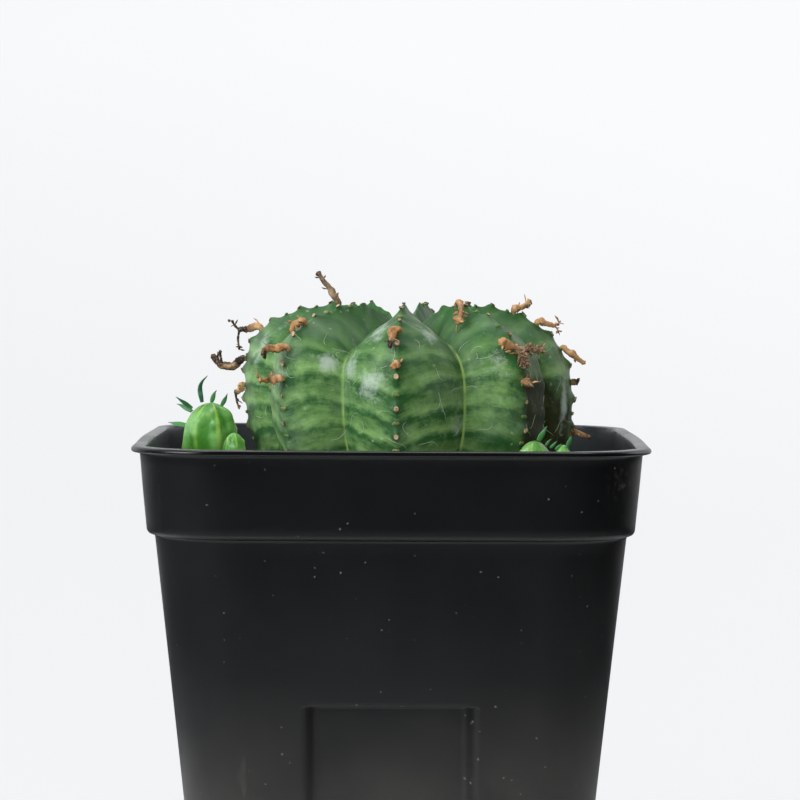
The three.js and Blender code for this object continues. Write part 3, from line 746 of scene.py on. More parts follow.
def domes(spots, sizes, rows, sides, seed):
    # Small closed domes: rings of an oval, their width and height given by rows of (width, rise), with a rim
    # that waves by two sines. Spots hold each dome's place and its ways out, aside and up.
    random = np.random.default_rng(seed)
    turn = turnsOf(sides)
    width, rise = np.array(rows).T[..., None]
    shapes = []
    for p, o, a, u, (wide, tall, deep) in zip(*spots, sizes):
        wavy = 1 + 0.14 * np.sin(2 * turn + random.uniform(0, 6))
        wavy = wavy + 0.1 * np.sin(3 * turn + random.uniform(0, 6))
        flat = width * wavy
        ring = (p + (flat * np.cos(turn))[..., None] * a * wide + (flat * np.sin(turn))[..., None] * u * tall
                + rise[..., None] * o * deep)
        shapes.append(skinOf(ring, tone=np.full(flat.shape, random.uniform(0, 1)), middle=1 - flat))
    return shapes


scarRows = [(0.75, -0.55), (1.0, 0.0), (0.98, 0.22), (0.72, 0.42), (0.50, 0.36), (0.25, 0.18)]
budRows = [(0.7, -0.5), (1.0, 0.1), (0.95, 0.5), (0.66, 0.86), (0.3, 1.05), (0.1, 1.1)]


def crestPieces(plan):
    random = np.random.default_rng(11)
    scars, buds = [], []
    for rib in range(len(plan["ribs"])):
        lengths = crestSpots(rib, 0.5, plan) + random.uniform(-0.25, 0.25, 1)
        place, out, aside, up = crestFrames(lengths, rib, plan)
        tilted = unit(out + 0.25 * up + aside * random.uniform(-0.5, 0.5, (len(place), 1)))
        sizes = random.uniform(0.36, 0.56, (len(place), 1)) * np.array([[1.0, 1.15, 0.8]])
        scars += domes((place, tilted, aside, up), sizes, scarRows, 10, rib + 1)
        place, out, aside, up = crestFrames(crestSpots(rib, 0.0, plan), rib, plan)
        for shift, tall in ((-0.45, 0.9), (0.3, 0.7), (0.0, 1.1)):
            turned = unit(out + 0.4 * up + shift * aside)
            sizes = random.uniform(0.24, 0.38, (len(place), 1)) * np.array([[1.0, 1.0, tall]])
            buds += domes((place + aside * shift * 0.8, turned, aside, up), sizes, budRows, 8, rib + 30)
    return joined(scars), joined(buds)


def scarSkin():
    made = Finish("driedLeafScar", 0.7)
    tone, middle = made.attribute("tone"), made.attribute("middle")
    pale = made.mix(tone, (0.46, 0.33, 0.19), (0.60, 0.48, 0.32))
    # a dark brown rim at the scar's foot: partly the scar's own edge and partly painted shade where the scar
    # meets the skin
    rim = made.mix(made.scaled(middle, 1, 0, 0.02, 0.22), pale, (0.10, 0.045, 0.022))
    made.colour(made.mix(made.patches(900, 0.5, 0.7), rim, (0.16, 0.085, 0.045)))
    made.bump(made.noise(3000, 3), 0.05)
    return made.material


def budSkin():
    made = Finish("greenBud", 0.5)
    fresh = made.mix(made.attribute("tone"), (0.10, 0.24, 0.045), (0.30, 0.34, 0.12))
    tip = made.mix(made.scaled(made.attribute("middle"), 0, 1, 0.45, 0.9), fresh, (0.20, 0.10, 0.04))
    made.colour(made.mix(made.patches(700, 0.5, 0.7), tip, (0.12, 0.08, 0.035)))
    made.bump(made.noise(2600, 3), 0.05)
    return made.material


scarShape, budShape = crestPieces(stemPlan)
makePiece("leafScars", scarShape, scarSkin())
makePiece("crestBuds", budShape, budSkin())
print("leaf scars and buds made")

# Dried flower stalks.

# Each grows from a rib's crest at a height. Its knots are (out, aside, up) in mm from there, as are those of
# its arms. Dark and grey say how far the foot and the tip have gone dark brown, and the stalk and its arms
# grey. Knobs are swellings as (place from 0 to 1, how much thicker, how long in mm), and scales are loose
# dry bracts, of which the ragged share is kept.
stalkSlim = 0.8  # how much the dried tissue has shrunk
stalkFields = ("rib", "height", "thick", "thin", "dark", "grey", "scales", "knobs", "knots")
stalkUsual = {"arms": [], "scaleFrom": 0.25, "armScales": 8, "ragged": 0.5}
stalkPlans = {
    "tall": (7, 14, 0.75, 0.45, (0, 0.35), (0.75, 0.55), 7, [(0.55, 0.25, 0.5), (0.98, 0.6, 0.5)],
        [(0.1, 0.3, 2.4), (0.9, 1.7, 5.2), (2, 3.7, 8.2)]),
    "left_forked": (0, 10.7, 0.75, 0.5, (0, 0.9), (0.1, 0.5), 8, [(0.6, 0.2, 0.8)],
        [(2.2, 0, 0.3), (4.6, 0, 0)],
        {"arms": [[(4.4, 0, 0), (5.3, 0, 0.9), (5.9, 0, 1.8)],
                  [(4.4, 0, 0), (4.6, 0, -1.8), (4.4, 0, -3.8)]]}),
    "left_dark": (0, 4.6, 0.75, 0.5, (0.85, 1), (0.4, 0.5), 14,
        [(0.3, 0.4, 0.8), (0.62, 0.6, 0.8), (0.85, 0.35, 0.5)],
        [(1.2, 0, -0.1), (3, 0, -1.4), (5, 0, -1.3), (6.1, 0, -0.1), (6.9, 0, 0.7)],
        {"arms": [[(4.7, 0, -1.5), (5.1, 0, 0.2), (5.3, 0, 1.6)]], "armScales": 2}),
    "left_low": (0, -0.6, 0.7, 0.45, (0, 0.8), (0, 0.5), 5, [(0.95, 0.4, 0.6)],
        [(1, 0, -0.5), (2.3, 0, -1.4)], {"arms": [[(2.1, 0, -1.2), (1.8, 0, -2.8), (1.3, 0, -4.4)]]}),
    "a_top": (1, 12.6, 0.65, 0.4, (0.25, 0.8), (0.1, 0.2), 14,
        [(0.35, 0.3, 0.5), (0.6, 0.4, 0.5), (0.9, 0.5, 0.4)],
        [(1.2, -0.5, 0.6), (2.1, -1, 0), (2.4, -1.2, -1.5)], {"ragged": 1}),
    "a_upper": (1, 7.8, 0.8, 0.35, (0, 1), (0, 0.1), 8, [(0.3, 0.15, 0.9), (0.85, 0.6, 0.4)],
        [(2.4, -1, 0.2), (4.4, -1.9, 0), (4.2, -1.6, -1.7)]),
    "a_lower": (1, 2.2, 0.7, 0.35, (0.35, 0.45), (0.1, 0.25), 16,
        [(0.25, 0.35, 0.4), (0.48, 0.5, 0.35), (0.7, 0.6, 0.35), (0.96, 1, 0.3)],
        [(1.3, -0.5, 0.1), (2.6, -1, 0), (4.6, -1.8, -0.1)]),
    "b_upper": (2, 12, 0.75, 0.4, (0, 0.85), (0, 0), 4, [(0.45, 0.3, 1)],
        [(1.5, -0.8, 0.3), (2.8, -1.2, -1), (3.7, -1.2, -2.6)]),
    "b_stub": (2, 6.3, 0.7, 0.5, (0.05, 0.6), (0, 0), 4, [(0.5, 0.25, 0.5)],
        [(1.3, -0.4, 0.1), (2.1, -1, 0)]),
    "c_top": (3, 16.3, 0.5, 0.75, (0, 0.25), (0, 0.25), 16,
        [(0.35, 0.3, 0.8), (0.6, 0.2, 0.5), (0.92, 0.45, 0.6)],
        [(1.4, -0.7, 1.2), (3.3, -1.8, 0.6), (5.1, -3.4, -1), (5.7, -4.9, -2.7)], {"scaleFrom": 0.7}),
    "c_fork": (3, 9.4, 0.8, 0.8, (0.1, 0), (0, 0.75), 8, [(0.75, 0.2, 1.2)],
        [(1, -1.6, 1), (1.3, -5.2, 2.3)],
        {"arms": [[(1, -0.8, 0.8), (2.1, 1, 0.7), (4, 3.4, 0.7)],
                  [(1, -1, 0.8), (1.9, -0.2, -0.8), (2.3, 0, -2)]],
        "armScales": 60, "ragged": 1}),
    "c_stub": (3, 4.6, 0.75, 0.5, (0.1, 0.6), (0, 0.1), 8, [(0.45, 0.3, 0.5)],
        [(1.4, 0.2, -0.1), (2.1, 0.6, -0.3)]),
    "right_top": (4, 15.2, 0.7, 0.5, (0.05, 0.3), (0.1, 0.2), 12, [(0.3, 0.4, 0.5), (0.95, 0.7, 0.4)],
        [(1.6, 0, 1.3), (3.3, 0, 2.6)]),
    "right_forked": (4, 13.4, 0.65, 0.35, (0, 0.3), (0, 0.5), 6, [(0.4, 0.15, 0.9)],
        [(1.9, 0, 0.5), (3.6, 0, -0.2)],
        {"arms": [[(3.3, 0, 0), (3.9, 0, 0.4), (4.5, 0, 1)],
                  [(3.3, 0, 0), (3.9, 0.1, -0.6), (4.2, 0.3, -1.4)]]}),
    "right_long": (4, 9.6, 0.65, 0.4, (0, 0.6), (0, 0.1), 4, [(0.5, 0.2, 0.9), (0.95, 0.3, 0.3)],
        [(1.5, 0, -0.3), (3.1, 0, -1.3), (4.8, 0, -2.6)]),
    "right_stub": (4, 4.2, 0.5, 0.3, (0.4, 0.5), (0, 0.5), 4, [(0.3, 0.4, 0.4)],
        [(1.1, 0, 0), (1.8, 0, 0.8)]),
    "low": (5, -4.9, 0.7, 0.45, (0.35, 0.45), (0.1, 0.2), 3, [(0.7, 0.25, 0.8)],
        [(3, -3, -0.3), (5.7, -6.4, -1.2), (8, -9.5, -2.4)]),
    "back_high": (6, 12.5, 0.7, 0.4, (0, 0.8), (0, 0.2), 8, [(0.5, 0.3, 0.6)],
        [(1.7, 0.6, 0.5), (3.4, 1.4, 0.4), (4.4, 1.2, -0.8)]),
    "back_mid": (6, 4, 0.75, 0.4, (0.1, 0.5), (0.1, 0.5), 8, [(0.6, 0.4, 0.6)],
        [(1.5, -0.8, 0), (3.6, -1.8, -0.3), (5.2, -1.6, -1.2)]),
    "back_left": (7, 8, 0.7, 0.4, (0, 0.9), (0, 0.2), 6, [(0.4, 0.3, 0.8)],
        [(1.8, 0.4, 0.2), (3.9, 0.2, 0.3), (5, -0.6, 1.1)]),
    "back_left_stub": (7, 1, 0.65, 0.45, (0.2, 0.6), (0, 0.1), 5, [(0.5, 0.3, 0.5)],
        [(1.2, 0.5, -0.1), (2.3, 1.2, -0.5)]),
    "back_right": (5, 9.5, 0.7, 0.4, (0, 0.7), (0.1, 0.4), 7, [(0.5, 0.25, 0.8)],
        [(1.7, 0.8, 0.3), (3.5, 2, 0.1), (4.5, 1.9, -1)]),
}


def crestFoot(rib, height, plan):
    # a point of a crest at a height, in the stem's own frame, with the ways out, aside and square to the skin
    turn = math.radians(plan["ribs"][rib])
    at = onProfile(lengthAt(height))
    out, aside = np.array([math.sin(turn), -math.cos(turn), 0]), np.array([math.cos(turn), math.sin(turn), 0])
    return at["radius"] * out + [0, 0, height], out, aside, at["outR"] * out + [0, 0, at["outZ"]]


def dryTube(path, radii, knobs, random, sides):
    # A tube of shrunken tissue: its radius swells by a bell curve at each knob, varies at random along it and
    # wrinkles lengthwise by a few sine waves round it that drift along it.
    length = wayAlong(path)
    along = length / length[-1]
    radius = np.interp(along, np.linspace(0, 1, len(radii)), radii)
    for place, more, wide in knobs:
        radius = radius * (1 + more * hump((along - place) * length[-1], wide))
    turn = turnsOf(sides)
    folds = 0.0
    for depth, waves, drift in ((0.15, 3, 0.9), (0.09, 5, -1.3), (0.14, 1, 2.1)):
        folds = folds + depth * np.sin(waves * turn + drift * length[:, None] + random.uniform(0, 6))
    folds = folds + 0.08 * random.standard_normal(folds.shape)
    uneven = np.interp(along, np.linspace(0, 1, 12), random.uniform(0.78, 1.2, 12))
    tip = 1 - stepUp(length[-1] - 0.35, length[-1], length) * 0.75
    wide = (stalkSlim * radius * uneven)[:, None] * (1 + folds) * tip[:, None]
    return ringsAlong(path, wide * np.cos(turn), wide * np.sin(turn)), along[:, None], radius


def dryScale(start, way, random):
    # a loose bract: a short bent tube, flattened and pointed
    size = random.uniform(0.5, 1.3)
    bend = unit(random.standard_normal(3)) * 0.5
    path = smoothPath([start, start + size * 0.5 * way + bend * 0.25, start + size * (way + bend)], 5)
    across = random.standard_normal(3)
    wide = (np.array([0.10, 0.19, 0.21, 0.14, 0.03]) * random.uniform(0.8, 1.5))[:, None]
    turn = turnsOf(6)
    return ringsAlong(path, wide * np.cos(turn), 0.38 * wide * np.sin(turn), across)


def stalkShape(plan, stem, seed):
    # a trunk and its arms as dry tubes, with bracts at random spots along each
    random = np.random.default_rng(seed)
    point, out, aside, normal = crestFoot(plan["rib"], plan["height"], stem)
    foot = standUp(point, plan["height"], stem)

    def placed(knots):
        return foot + np.array(knots) @ np.array([out, aside, [0, 0, 1]])

    thick, thin = plan["thick"], plan["thin"]
    darkFrom, darkTo = plan["dark"]
    greyFrom, greyTo = plan["grey"]
    feet = standUp(point + np.outer([-0.25, 0.35 + 0.8 * thick], normal), plan["height"], stem)
    path = smoothPath(np.concatenate([feet, placed(plan["knots"])]), 46)
    radii = [thick * 0.62, thick, thick, (thick + thin) / 2, thin]
    rings, along, radius = dryTube(path, radii, plan["knobs"], random, 14)
    dark = darkFrom + (darkTo - darkFrom) * stepUp(0.45, 1.0, along)
    shapes = [skinOf(rings, along=along, dark=dark, grey=greyFrom)]
    branches = [(path, radius, plan["scaleFrom"], plan["scales"], greyFrom)]
    for knots in plan["arms"]:
        path = smoothPath(placed(knots), 26)
        radii = [0.66 * thin, 0.55 * thin, 0.48 * thin, 0.4 * thin]
        rings, along, radius = dryTube(path, radii, [(0.95, 0.7, 0.3)], random, 12)
        shapes.append(skinOf(rings, along=along, dark=darkTo, grey=greyTo))
        branches.append((path, radius, 0.3, plan["armScales"], greyTo))
    for path, wide, first, count, grey in branches:
        for spot in random.uniform(first, 1, math.ceil(count * plan["ragged"])):
            k = int(spot * (len(path) - 1))
            ahead = unit(path[min(k + 1, len(path) - 1)] - path[k - 1])
            around = unit(np.cross(ahead, random.standard_normal(3)))
            scale = dryScale(path[k] + around * wide[k] * 0.7, unit(around + 0.7 * ahead), random)
            dark = min(1, darkTo * 0.8 + random.uniform(-0.2, 0.2))
            shapes.append(skinOf(scale, along=spot, dark=dark, grey=grey))
    return joined(shapes)


def dryStalk():
    made = Finish("dryStalk", 0.72)
    mottle = made.patches(420, 0.42, 0.68)
    fresh = made.mix(mottle, (0.56, 0.27, 0.10), (0.76, 0.46, 0.24))
    grey = made.mix(mottle, (0.15, 0.11, 0.08), (0.36, 0.28, 0.20))
    base = made.mix(made.attribute("grey"), fresh, grey)
    blotch = made.scaled(made.noise(330, 4), -0.5, 0.42, 0.35, 0.65)
    dark = made.plus(made.attribute("dark"), blotch)
    browned = made.mix(made.scaled(dark, 0, 1, 0.25, 0.75), base, (0.035, 0.020, 0.014))
    fine = made.noise(2600, 3)
    made.colour(made.mix(made.scaled(fine, 0, 0.5, 0.52, 0.7), browned, (0.55, 0.42, 0.28)))
    made.plug("Roughness", made.scaled(mottle, 0.6, 0.82))
    made.bump(made.plus(fine, made.times(made.noise(700, 4), 2.0)), 0.12)
    return made.material


dryStalkFinish = dryStalk()
for number, (name, row) in enumerate(stalkPlans.items()):
    plan = {**stalkUsual, **dict(zip(stalkFields, row)), **(row[-1] if len(row) > len(stalkFields) else {})}
    shape = stalkShape(plan, stemPlan, 100 + number)
    makePiece("dryStalk" + capitals(name), shape, dryStalkFinish, ["stalk_" + name])
print("dried stalks made:", len(stalkPlans))

# Offsets and their leaves.

# Bulges are leaf bases: (turn, level from 0 to 1, how far out in mm, how wide in mm).
offsetPlans = {
    "left": {"ribs": 7, "ribDepth": 0.09, "knobs": 7, "knobSize": 0.7, "turn": 0.62,
             "bulges": ((-0.45, 0.86, 0.75, 1.1), (3.7, 0.87, 0.6, 1.0), (3.35, 0.30, 0.8, 1.8),
                        (-1.3, 0.72, 0.5, 0.8), (-2.2, 0.55, 0.4, 0.8), (1.4, 0.85, 0.8, 1.2))},
    "small": {"ribs": 6, "ribDepth": 0.06, "knobs": 5, "knobSize": 0.35, "turn": 0.9},
    "right": {"ribs": 7, "ribDepth": 0.07, "knobs": 7, "knobSize": 0.55, "turn": 0.1},
    "right_bud": {"ribs": 5, "ribDepth": 0.08, "knobs": 4, "knobSize": 0.45, "turn": 0.5},
}


def offsetShape(name, plan, seed):
    # A small round stem from the soil up: the radius swells by a sine to the middle and closes by a
    # superellipse. Soft ribs are a cosine round it, and knobs on its shoulder, where leaves stood, are
    # bell-shaped.
    random = np.random.default_rng(seed)
    low, high = (np.array(corner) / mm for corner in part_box(name))
    middle, radius, tall = (low + high)[:2] / 2, (high - low)[0] / 2, (high - low)[2]
    rows, columns = 56, 84
    share = (1 - (1 - np.linspace(0, 1, rows)) ** 1.5)[:, None]
    turn = turnsOf(columns)[None, :]
    swell = 0.70 + 0.30 * np.sin(np.minimum(1, share / 0.5) * np.pi / 2)
    cap = np.sqrt(np.maximum(0, 1 - np.maximum(0, (share - 0.5) / 0.5) ** 2.0 * 0.998))
    ribbed = np.cos(plan["ribs"] * (turn - plan["turn"]) + 0.8 * share)
    wide = radius * swell * cap * (0.965 - plan["ribDepth"] * (0.5 - 0.5 * ribbed))
    bumps = np.zeros((rows, columns))

    def bump(spot, level, squeeze, reach):
        sideways = np.angle(np.exp(1j * (turn - spot))) * radius * squeeze
        return hump(np.hypot(sideways, (share - level) * tall), reach)

    size = plan["knobSize"]
    for k in range(plan["knobs"]):
        spot = plan["turn"] + 2 * np.pi * k * 0.618 * 3 / plan["ribs"] * 2
        level = 0.60 + 0.36 * k / plan["knobs"]
        bumps = bumps + size * bump(spot, level, 0.75, size * 1.5) * random.uniform(0.7, 1.1)
    for spot, level, amount, reach in plan.get("bulges", ()):
        bumps = bumps + amount * bump(spot, level, 0.8, reach)
    wide = wide + bumps * np.maximum(cap, 0.35 * (share < 0.97)) * 0.8
    height = low[2] + share * tall * 0.965 + bumps * share * 0.35
    rings = np.stack([middle[0] + wide * np.cos(turn), middle[1] + wide * np.sin(turn), height], -1)
    return skinOf(rings, rib=0.5 + 0.5 * ribbed, level=share, knob=np.clip(bumps / size, 0, 1))


def offsetSkin():
    made = Finish("offsetSkin")
    fresh = made.mix(made.patches(190, 0.38, 0.66), (0.055, 0.240, 0.024), (0.250, 0.560, 0.160))
    ridge = made.times(made.scaled(made.attribute("rib"), 0, 0.9, 0.85, 1.0), made.patches(150, 0.35, 0.6))
    ridged = made.mix(ridge, fresh, (0.40, 0.62, 0.12))
    tipped = made.mix(made.times(made.attribute("knob"), 0.5), ridged, (0.26, 0.52, 0.16))
    lowDown = made.mix(made.scaled(made.attribute("level"), 0.6, 0, 0.3, 0.6), tipped, (0.05, 0.15, 0.02))
    made.colour(made.mix(made.times(made.specks(700, 0.25, 0.15), 0.5), lowDown, (0.45, 0.62, 0.30)))
    made.plug("Roughness", made.scaled(made.noise(400, 3), 0.18, 0.36, 0.3, 0.7))
    made.bump(made.noise(900, 3), 0.05)
    made.flesh(0.12, (0.5, 1.0, 0.2), 0.0015)
    return made.material


offsetFinish = offsetSkin()
for number, (name, plan) in enumerate(offsetPlans.items()):
    shape = offsetShape("offset_" + name, plan, 60 + number)
    makePiece("pup" + capitals(name), shape, offsetFinish, ["offset_" + name])

# Leaves of the offsets: knots from foot to tip, half-width in the middle, and how blue they have gone.
leafPlans = {
    "left_tall": ([[-35, 2, 96.0], [-35.4, 2, 98.4], [-35, 1.9, 99.8], [-33.9, 1.8, 101]], 0.5, 1.0),
    "left_out": ([[-36.8, 1.6, 94.9], [-38.6, 1, 96.2], [-39.8, 0.6, 97.1]], 0.45, 0.9),
    "left_behind": ([[-37.0, 4.2, 94.2], [-39, 5.6, 95.2], [-40, 6.4, 95.5]], 0.5, 0.6),
    "left_middle": ([[-33.4, 4.0, 95.9], [-32.9, 5.4, 97.5], [-32.5, 6, 98.1]], 0.45, 0.5),
    "left_inner": ([[-31.3, 0.3, 95.5], [-30.5, -0.4, 97], [-30.2, -0.7, 97.8]], 0.42, 0.7),
    "left_low": ([[-37.8, 4.6, 91.5], [-40, 7, 91.8], [-41.8, 9.2, 91.9]], 0.55, 0.3),
    "right_upright": ([[25.9, -26.1, 90.8], [26.8, -26.9, 92.4], [27.4, -27.2, 93.5]], 0.5, 0.4),
    "right_edge": ([[31.0, -26.9, 90.0], [31.5, -27.6, 91.2], [31.6, -27.8, 91.9]], 0.4, 0.4),
}


def leafShape(knots, half):
    # A fleshy pointed leaf: an oval section carried along the path, its half-width rising and falling as a
    # power of the way along, with a channel pressed into its upper face.
    path = smoothPath(knots, 30)
    way = np.linspace(0, 1, 30)[:, None]
    wide = half * (0.62 + 0.38 * np.sin(np.pi * np.minimum(1, way * 1.25))) * (1 - way**2.6) ** 0.8 + 0.02
    turn = turnsOf(18)
    c, s = np.cos(turn), np.sin(turn)
    thick = 0.5 * s - 0.42 * np.where(s > 0, s, 0) * hump(c, 0.5)
    return skinOf(ringsAlong(path, wide * c, wide * thick, (0.3, -1.0, 0.4)), along=way, edge=np.abs(c)[None])


# tiny pale leaves round the right-hand offset
tinyLeaves = [[(27.2, -26.4, 90.0), (27.7, -26.7, 90.7), (28.2, -26.9, 91.2)],
              [(28.0, -26.6, 89.6), (28.7, -26.9, 90.3), (29.2, -27.0, 90.9)],
              [(28.9, -26.8, 89.3), (29.5, -27.0, 89.9), (30.0, -27.1, 90.4)],
              [(29.6, -26.9, 88.9), (30.3, -27.1, 89.5), (30.9, -27.2, 89.9)],
              [(31.2, -26.5, 88.9), (31.0, -26.9, 90.0), (31.2, -27.1, 90.9)]]


def leafSkin(blue):
    made = Finish("leafSkin", 0.38)
    green = made.mix(blue, (0.075, 0.33, 0.06), (0.030, 0.115, 0.060))
    pale = made.mix(made.scaled(made.attribute("edge"), 0, 0.7, 0.8, 1.0), green, (0.30, 0.55, 0.32))
    tip = made.mix(made.scaled(made.attribute("along"), 0, 0.6, 0.8, 1.0), pale, (0.10, 0.24, 0.14))
    made.colour(made.mix(made.patches(500, 0.45, 0.75), tip, (0.10, 0.27, 0.13)))
    made.bump(made.noise(1500, 3, stretch=(1, 1, 0.3)), 0.04)
    return made.material


for name, (knots, half, blue) in leafPlans.items():
    makePiece("leaf" + capitals(name), leafShape(knots, half), leafSkin(blue), ["leaf_" + name])
makePiece("leavesTiny", joined([leafShape(knots, 0.24) for knots in tinyLeaves]), leafSkin(0.5))
print("offsets and leaves made")

# Soil and grit.

# Tints are each grain's colour, with the share of the grains that have it.
gritPlan = {
    "count": 2300, "level": 82.0, "rough": 0.55, "half": 42.6, "corner": 13.5, "sizes": (0.45, 1.5),
    "tints": (((0.030, 0.020, 0.013), 0.26), ((0.055, 0.033, 0.018), 0.22), ((0.10, 0.055, 0.028), 0.18),
              ((0.32, 0.28, 0.22), 0.11), ((0.55, 0.52, 0.47), 0.07), ((0.12, 0.038, 0.022), 0.08),
              ((0.045, 0.040, 0.036), 0.08)),
}


def gritShape(plan):
    # Grains scattered over the soil: each is a small lumpy ball with its own stretch, turn and colour.
    random = np.random.default_rng(5)
    half, corner, (small, large) = plan["half"], plan["corner"], plan["sizes"]
    x, y = random.uniform(-half, half, (2, plan["count"] * 3))
    inside = np.hypot(*(np.maximum(np.abs(v) - (half - corner), 0) for v in (x, y))) < corner - 1.0
    # only those outside the stem's outline at the soil
    stemX, stemY, stemZ = stemPlan["place"]
    azimuth = np.degrees(np.arctan2(x - stemX, -(y - stemY)))
    wall = onStem(np.full(x.shape, lengthAt(plan["level"] - stemZ)), azimuth, stemPlan)[0]
    clear = np.hypot(x - stemX, y - stemY) > np.hypot(wall[:, 0] - stemX, wall[:, 1] - stemY) + 0.3
    kept = np.flatnonzero(inside & clear)[: plan["count"]]
    x, y, n = x[kept], y[kept], len(kept)
    size = random.uniform(0, 1, n) ** 2.2 * (large - small) + small
    z = plan["level"] + plan["rough"] * np.sin(0.37 * x + 1.3) * np.cos(0.31 * y - 0.4)
    z = z + size * random.uniform(-0.1, 0.6, n)
    turn = turnsOf(7)
    fall = np.array([-0.8, -0.25, 0.4, 0.85])[:, None]
    belt = np.sqrt(1 - fall**2)
    ball = np.stack([belt * np.cos(turn), belt * np.sin(turn), fall * np.ones(7)], -1)
    lumpy = ball[None] * (1 + 0.2 * random.standard_normal((n, 4, 7, 1)))
    stretch = random.uniform(0.55, 1.15, (n, 1, 1, 3)) * size[:, None, None, None]
    axes = np.linalg.qr(random.standard_normal((n, 3, 3)))[0]
    grains = np.einsum("nrci,nij->nrcj", lumpy * stretch, axes) + np.stack([x, y, z], -1)[:, None, None]
    tints, shares = zip(*plan["tints"])
    chosen = np.array(tints)[random.choice(len(tints), n, p=shares)] * random.uniform(0.75, 1.3, (n, 1))
    return joined([skinOf(grain, tint=tone[None, None]) for grain, tone in zip(grains, chosen)])


def gritSkin():
    made = Finish("potGrit", 0.9)
    tint = made.attribute("tint", "Color")
    worn = made.patches(900, 0.45, 0.7)
    made.colour(made.mix(made.times(worn, 0.5), tint, (0.05, 0.035, 0.024)))
    made.plug("Roughness", made.scaled(worn, 0.75, 0.95))
    made.bump(made.noise(1800, 4), 0.12)
    return made.material


def soilSkin():
    made = Finish("pottingMix", 0.95)
    dark = made.mix(made.patches(350, 0.4, 0.6), (0.018, 0.012, 0.008), (0.055, 0.034, 0.020))
    made.colour(made.mix(made.specks(500, 0.35, 0.18), dark, (0.28, 0.24, 0.19)))
    made.bump(made.noise(600, 6, 0.65), 0.6)
    return made.material


makePiece("potGrit", gritShape(gritPlan), gritSkin())
soilFinish = soilSkin()
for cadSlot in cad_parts["soil"].material_slots:
    cadSlot.material = soilFinish
print("soil and grit made")

# Pale fibres caught on the skin.

fibrePlan = {"count": 130, "radius": 0.035, "lift": 0.03, "steps": 16}


def fibreShape(plan):
    # Thin threads that lie on the stem: each wanders over it as a smooth random curve of azimuth and length.
    random = np.random.default_rng(23)
    shapes = []
    turn = turnsOf(4)
    way = np.linspace(0, 1, plan["steps"])
    for _ in range(plan["count"]):
        heading, curl = random.uniform(0, 2 * np.pi), random.uniform(-2.5, 2.5)
        step = random.uniform(2.0, 6.0) / plan["steps"]
        angles = heading + curl * way + 0.5 * np.sin(5 * way + random.uniform(0, 6))
        length = random.uniform(-9, 17) + np.cumsum(np.sin(angles)) * step
        drift = np.degrees(np.cumsum(np.cos(angles)) * step / stemPlan["radius"])
        path = onStem(length, random.uniform(-110, 250) + drift, stemPlan, plan["lift"])[0]
        wide = plan["radius"] * np.minimum(1, 4 * np.minimum(way, 1 - way) + 0.2)[:, None]
        shapes.append(skinOf(ringsAlong(path, wide * np.cos(turn), wide * np.sin(turn))))
    return joined(shapes)


def fibreSkin():
    made = Finish("paleFibre", 0.6)
    made.colour(made.mix(made.noise(900, 2), (0.42, 0.50, 0.36), (0.62, 0.68, 0.55)))
    return made.material


makePiece("dustFibres", fibreShape(fibrePlan), fibreSkin())
print("fibres made")

# Stage and lights.

stagePlan = {
    "flat": 0.9, "bend": 0.5, "wall": 2.2,  # metres: the floor's radius, its curve up, and the wall's height
    "behind": (0.2, 0.8), "table": (0.11, 0.20),  # metres, from dark to pale and from pale to dark
    "roomLeft": (0.110, 0.126, 0.142), "roomRight": (0.0, 0.0, 0.0), "pale": (0.92, 0.925, 0.93),
    "seenLow": (0.90, 0.91, 0.93), "seenHigh": (0.985, 0.99, 1.0),
    "even": 0.9,
}


def studio(plan):
    # A pale bowl round the object: a flat floor that curves up into a round wall, so no edge shows from any
    # side.
    flat, bend = plan["flat"], plan["bend"]
    curve = np.linspace(0, np.pi / 2, 16)
    radii = np.concatenate([[0.02, 0.3, 0.6], flat + bend * np.sin(curve), [flat + bend]])[:, None]
    heights = np.concatenate([[0, 0, 0], bend * (1 - np.cos(curve)), [plan["wall"]]])[:, None]
    turn = turnsOf(96)
    points = np.stack([radii * np.cos(turn), radii * np.sin(turn), heights * np.ones(96)], -1)
    mesh = bpy.data.meshes.new("studioBowl")
    faces = bandFaces(len(radii), 96).tolist() + [list(range(96))]
    mesh.from_pydata(points.reshape(-1, 3).tolist(), [], faces)
    mesh.shade_smooth()
    bowl = bpy.data.objects.new("studioBowl", mesh)
    scene.collection.objects.link(bowl)
    return bowl


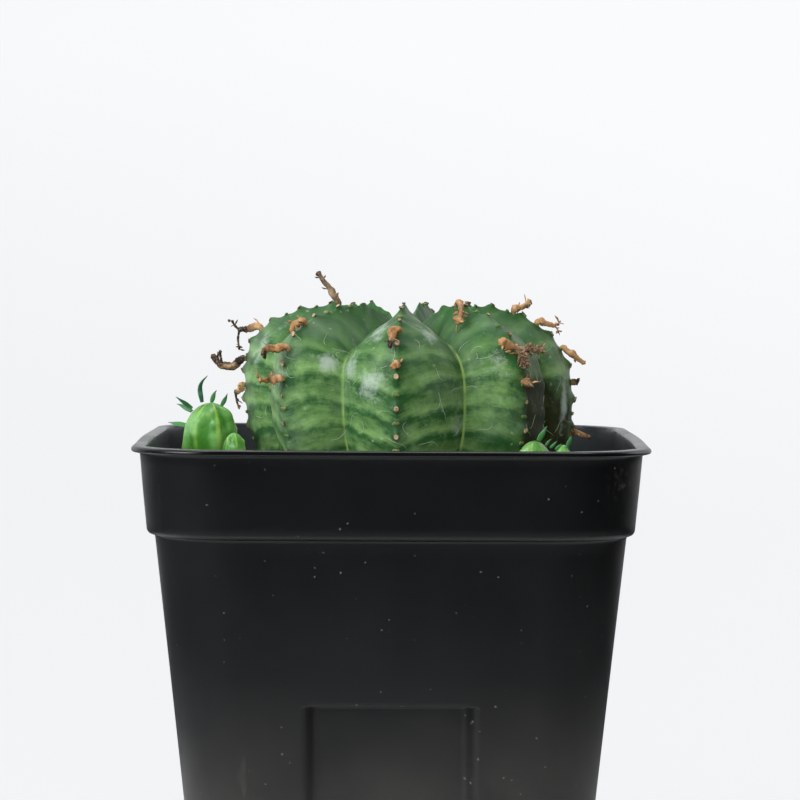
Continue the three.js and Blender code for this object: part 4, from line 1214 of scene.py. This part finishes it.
def paleStage(plan):
    # A pale matte backdrop. The camera sees it mostly at an even brightness, with the floor's soft shadow on
    # top. The room in front of the table is dark: what lights and mirrors in the object fades off past the
    # near edge.
    made = Finish("paleStage", 0.9)
    path = made.add("LightPath").outputs["Is Camera Ray"]
    place = made.place()
    across, depth, height = made.add("SeparateXYZ", Vector=place).outputs
    far = made.add("VectorMath", {"operation": "LENGTH"}, n0=place).outputs["Value"]
    lit = made.most(made.scaled(depth, 0, 1, *plan["behind"]), made.scaled(far, 1, 0, *plan["table"]))
    shade = made.mix(made.scaled(across, 0, 1, -0.9, 0.5), plan["roomLeft"], plan["roomRight"])
    made.colour(made.mix(path, made.mix(lit, shade, plan["pale"]), plan["pale"]))
    made.plug("Specular IOR Level", 0.0)
    upwards, sideways = made.scaled(height, 0, 1, 0.0, 0.24), made.scaled(across, -0.4, 0.4, -0.35, 0.35)
    seen = made.mix(made.plus(upwards, sideways), plan["seenLow"], plan["seenHigh"])
    glow = made.add("Emission", Color=seen).outputs[0]
    both = made.add("MixShader", n0=made.times(path, plan["even"]), n1=made.shader.outputs[0], n2=glow)
    made.fill(made.tree.nodes["Material Output"].inputs["Surface"], both.outputs[0])
    return made.material


studio(stagePlan).data.materials.append(paleStage(stagePlan))

# Each light's place and size in metres, power in watts and colour; the two soft ones don't mirror in the pot.
lightPlan = {
    "key": ((-0.75, -0.45, 0.75), 0.6, 6.5, (1.0, 0.99, 0.97)),
    "window": ((-0.8, -0.95, 0.35), 0.5, 1.6, (0.88, 0.95, 1.0)),
    "fill": ((0.05, -1.1, 0.30), 0.9, 9.0, (0.98, 1.0, 0.98)),
    "sky": ((-1.0, -0.35, 0.22), 0.7, 5.0, (0.80, 0.92, 1.0)),
    "right": ((0.8, 0.35, 0.5), 0.4, 0.8, (1.0, 1.0, 1.0)),
    "backdrop": ((0.0, 0.45, 1.7), 1.0, 9.0, (1.0, 1.0, 1.0)),
}

for name, (place, size, power, colour) in lightPlan.items():
    lamp = bpy.data.lights.new(name, "AREA")
    lamp.energy, lamp.size, lamp.color = power, size, colour
    light = bpy.data.objects.new(name, lamp)
    aim = Vector((0, 1.0, 0.1) if name == "backdrop" else (0, 0, 0.08))
    light.location = place
    light.rotation_euler = (aim - light.location).to_track_quat("-Z", "Y").to_euler()
    light.visible_glossy = name not in ("fill", "sky")
    scene.collection.objects.link(light)

world = bpy.data.worlds.new("studioAir")
world.use_nodes = True
air = world.node_tree.nodes["Background"].inputs
air["Color"].default_value, air["Strength"].default_value = (0.9, 0.95, 1.0, 1), 0.10
scene.world = world
scene.view_settings.view_transform = "Standard"
print("lights and backdrop set")
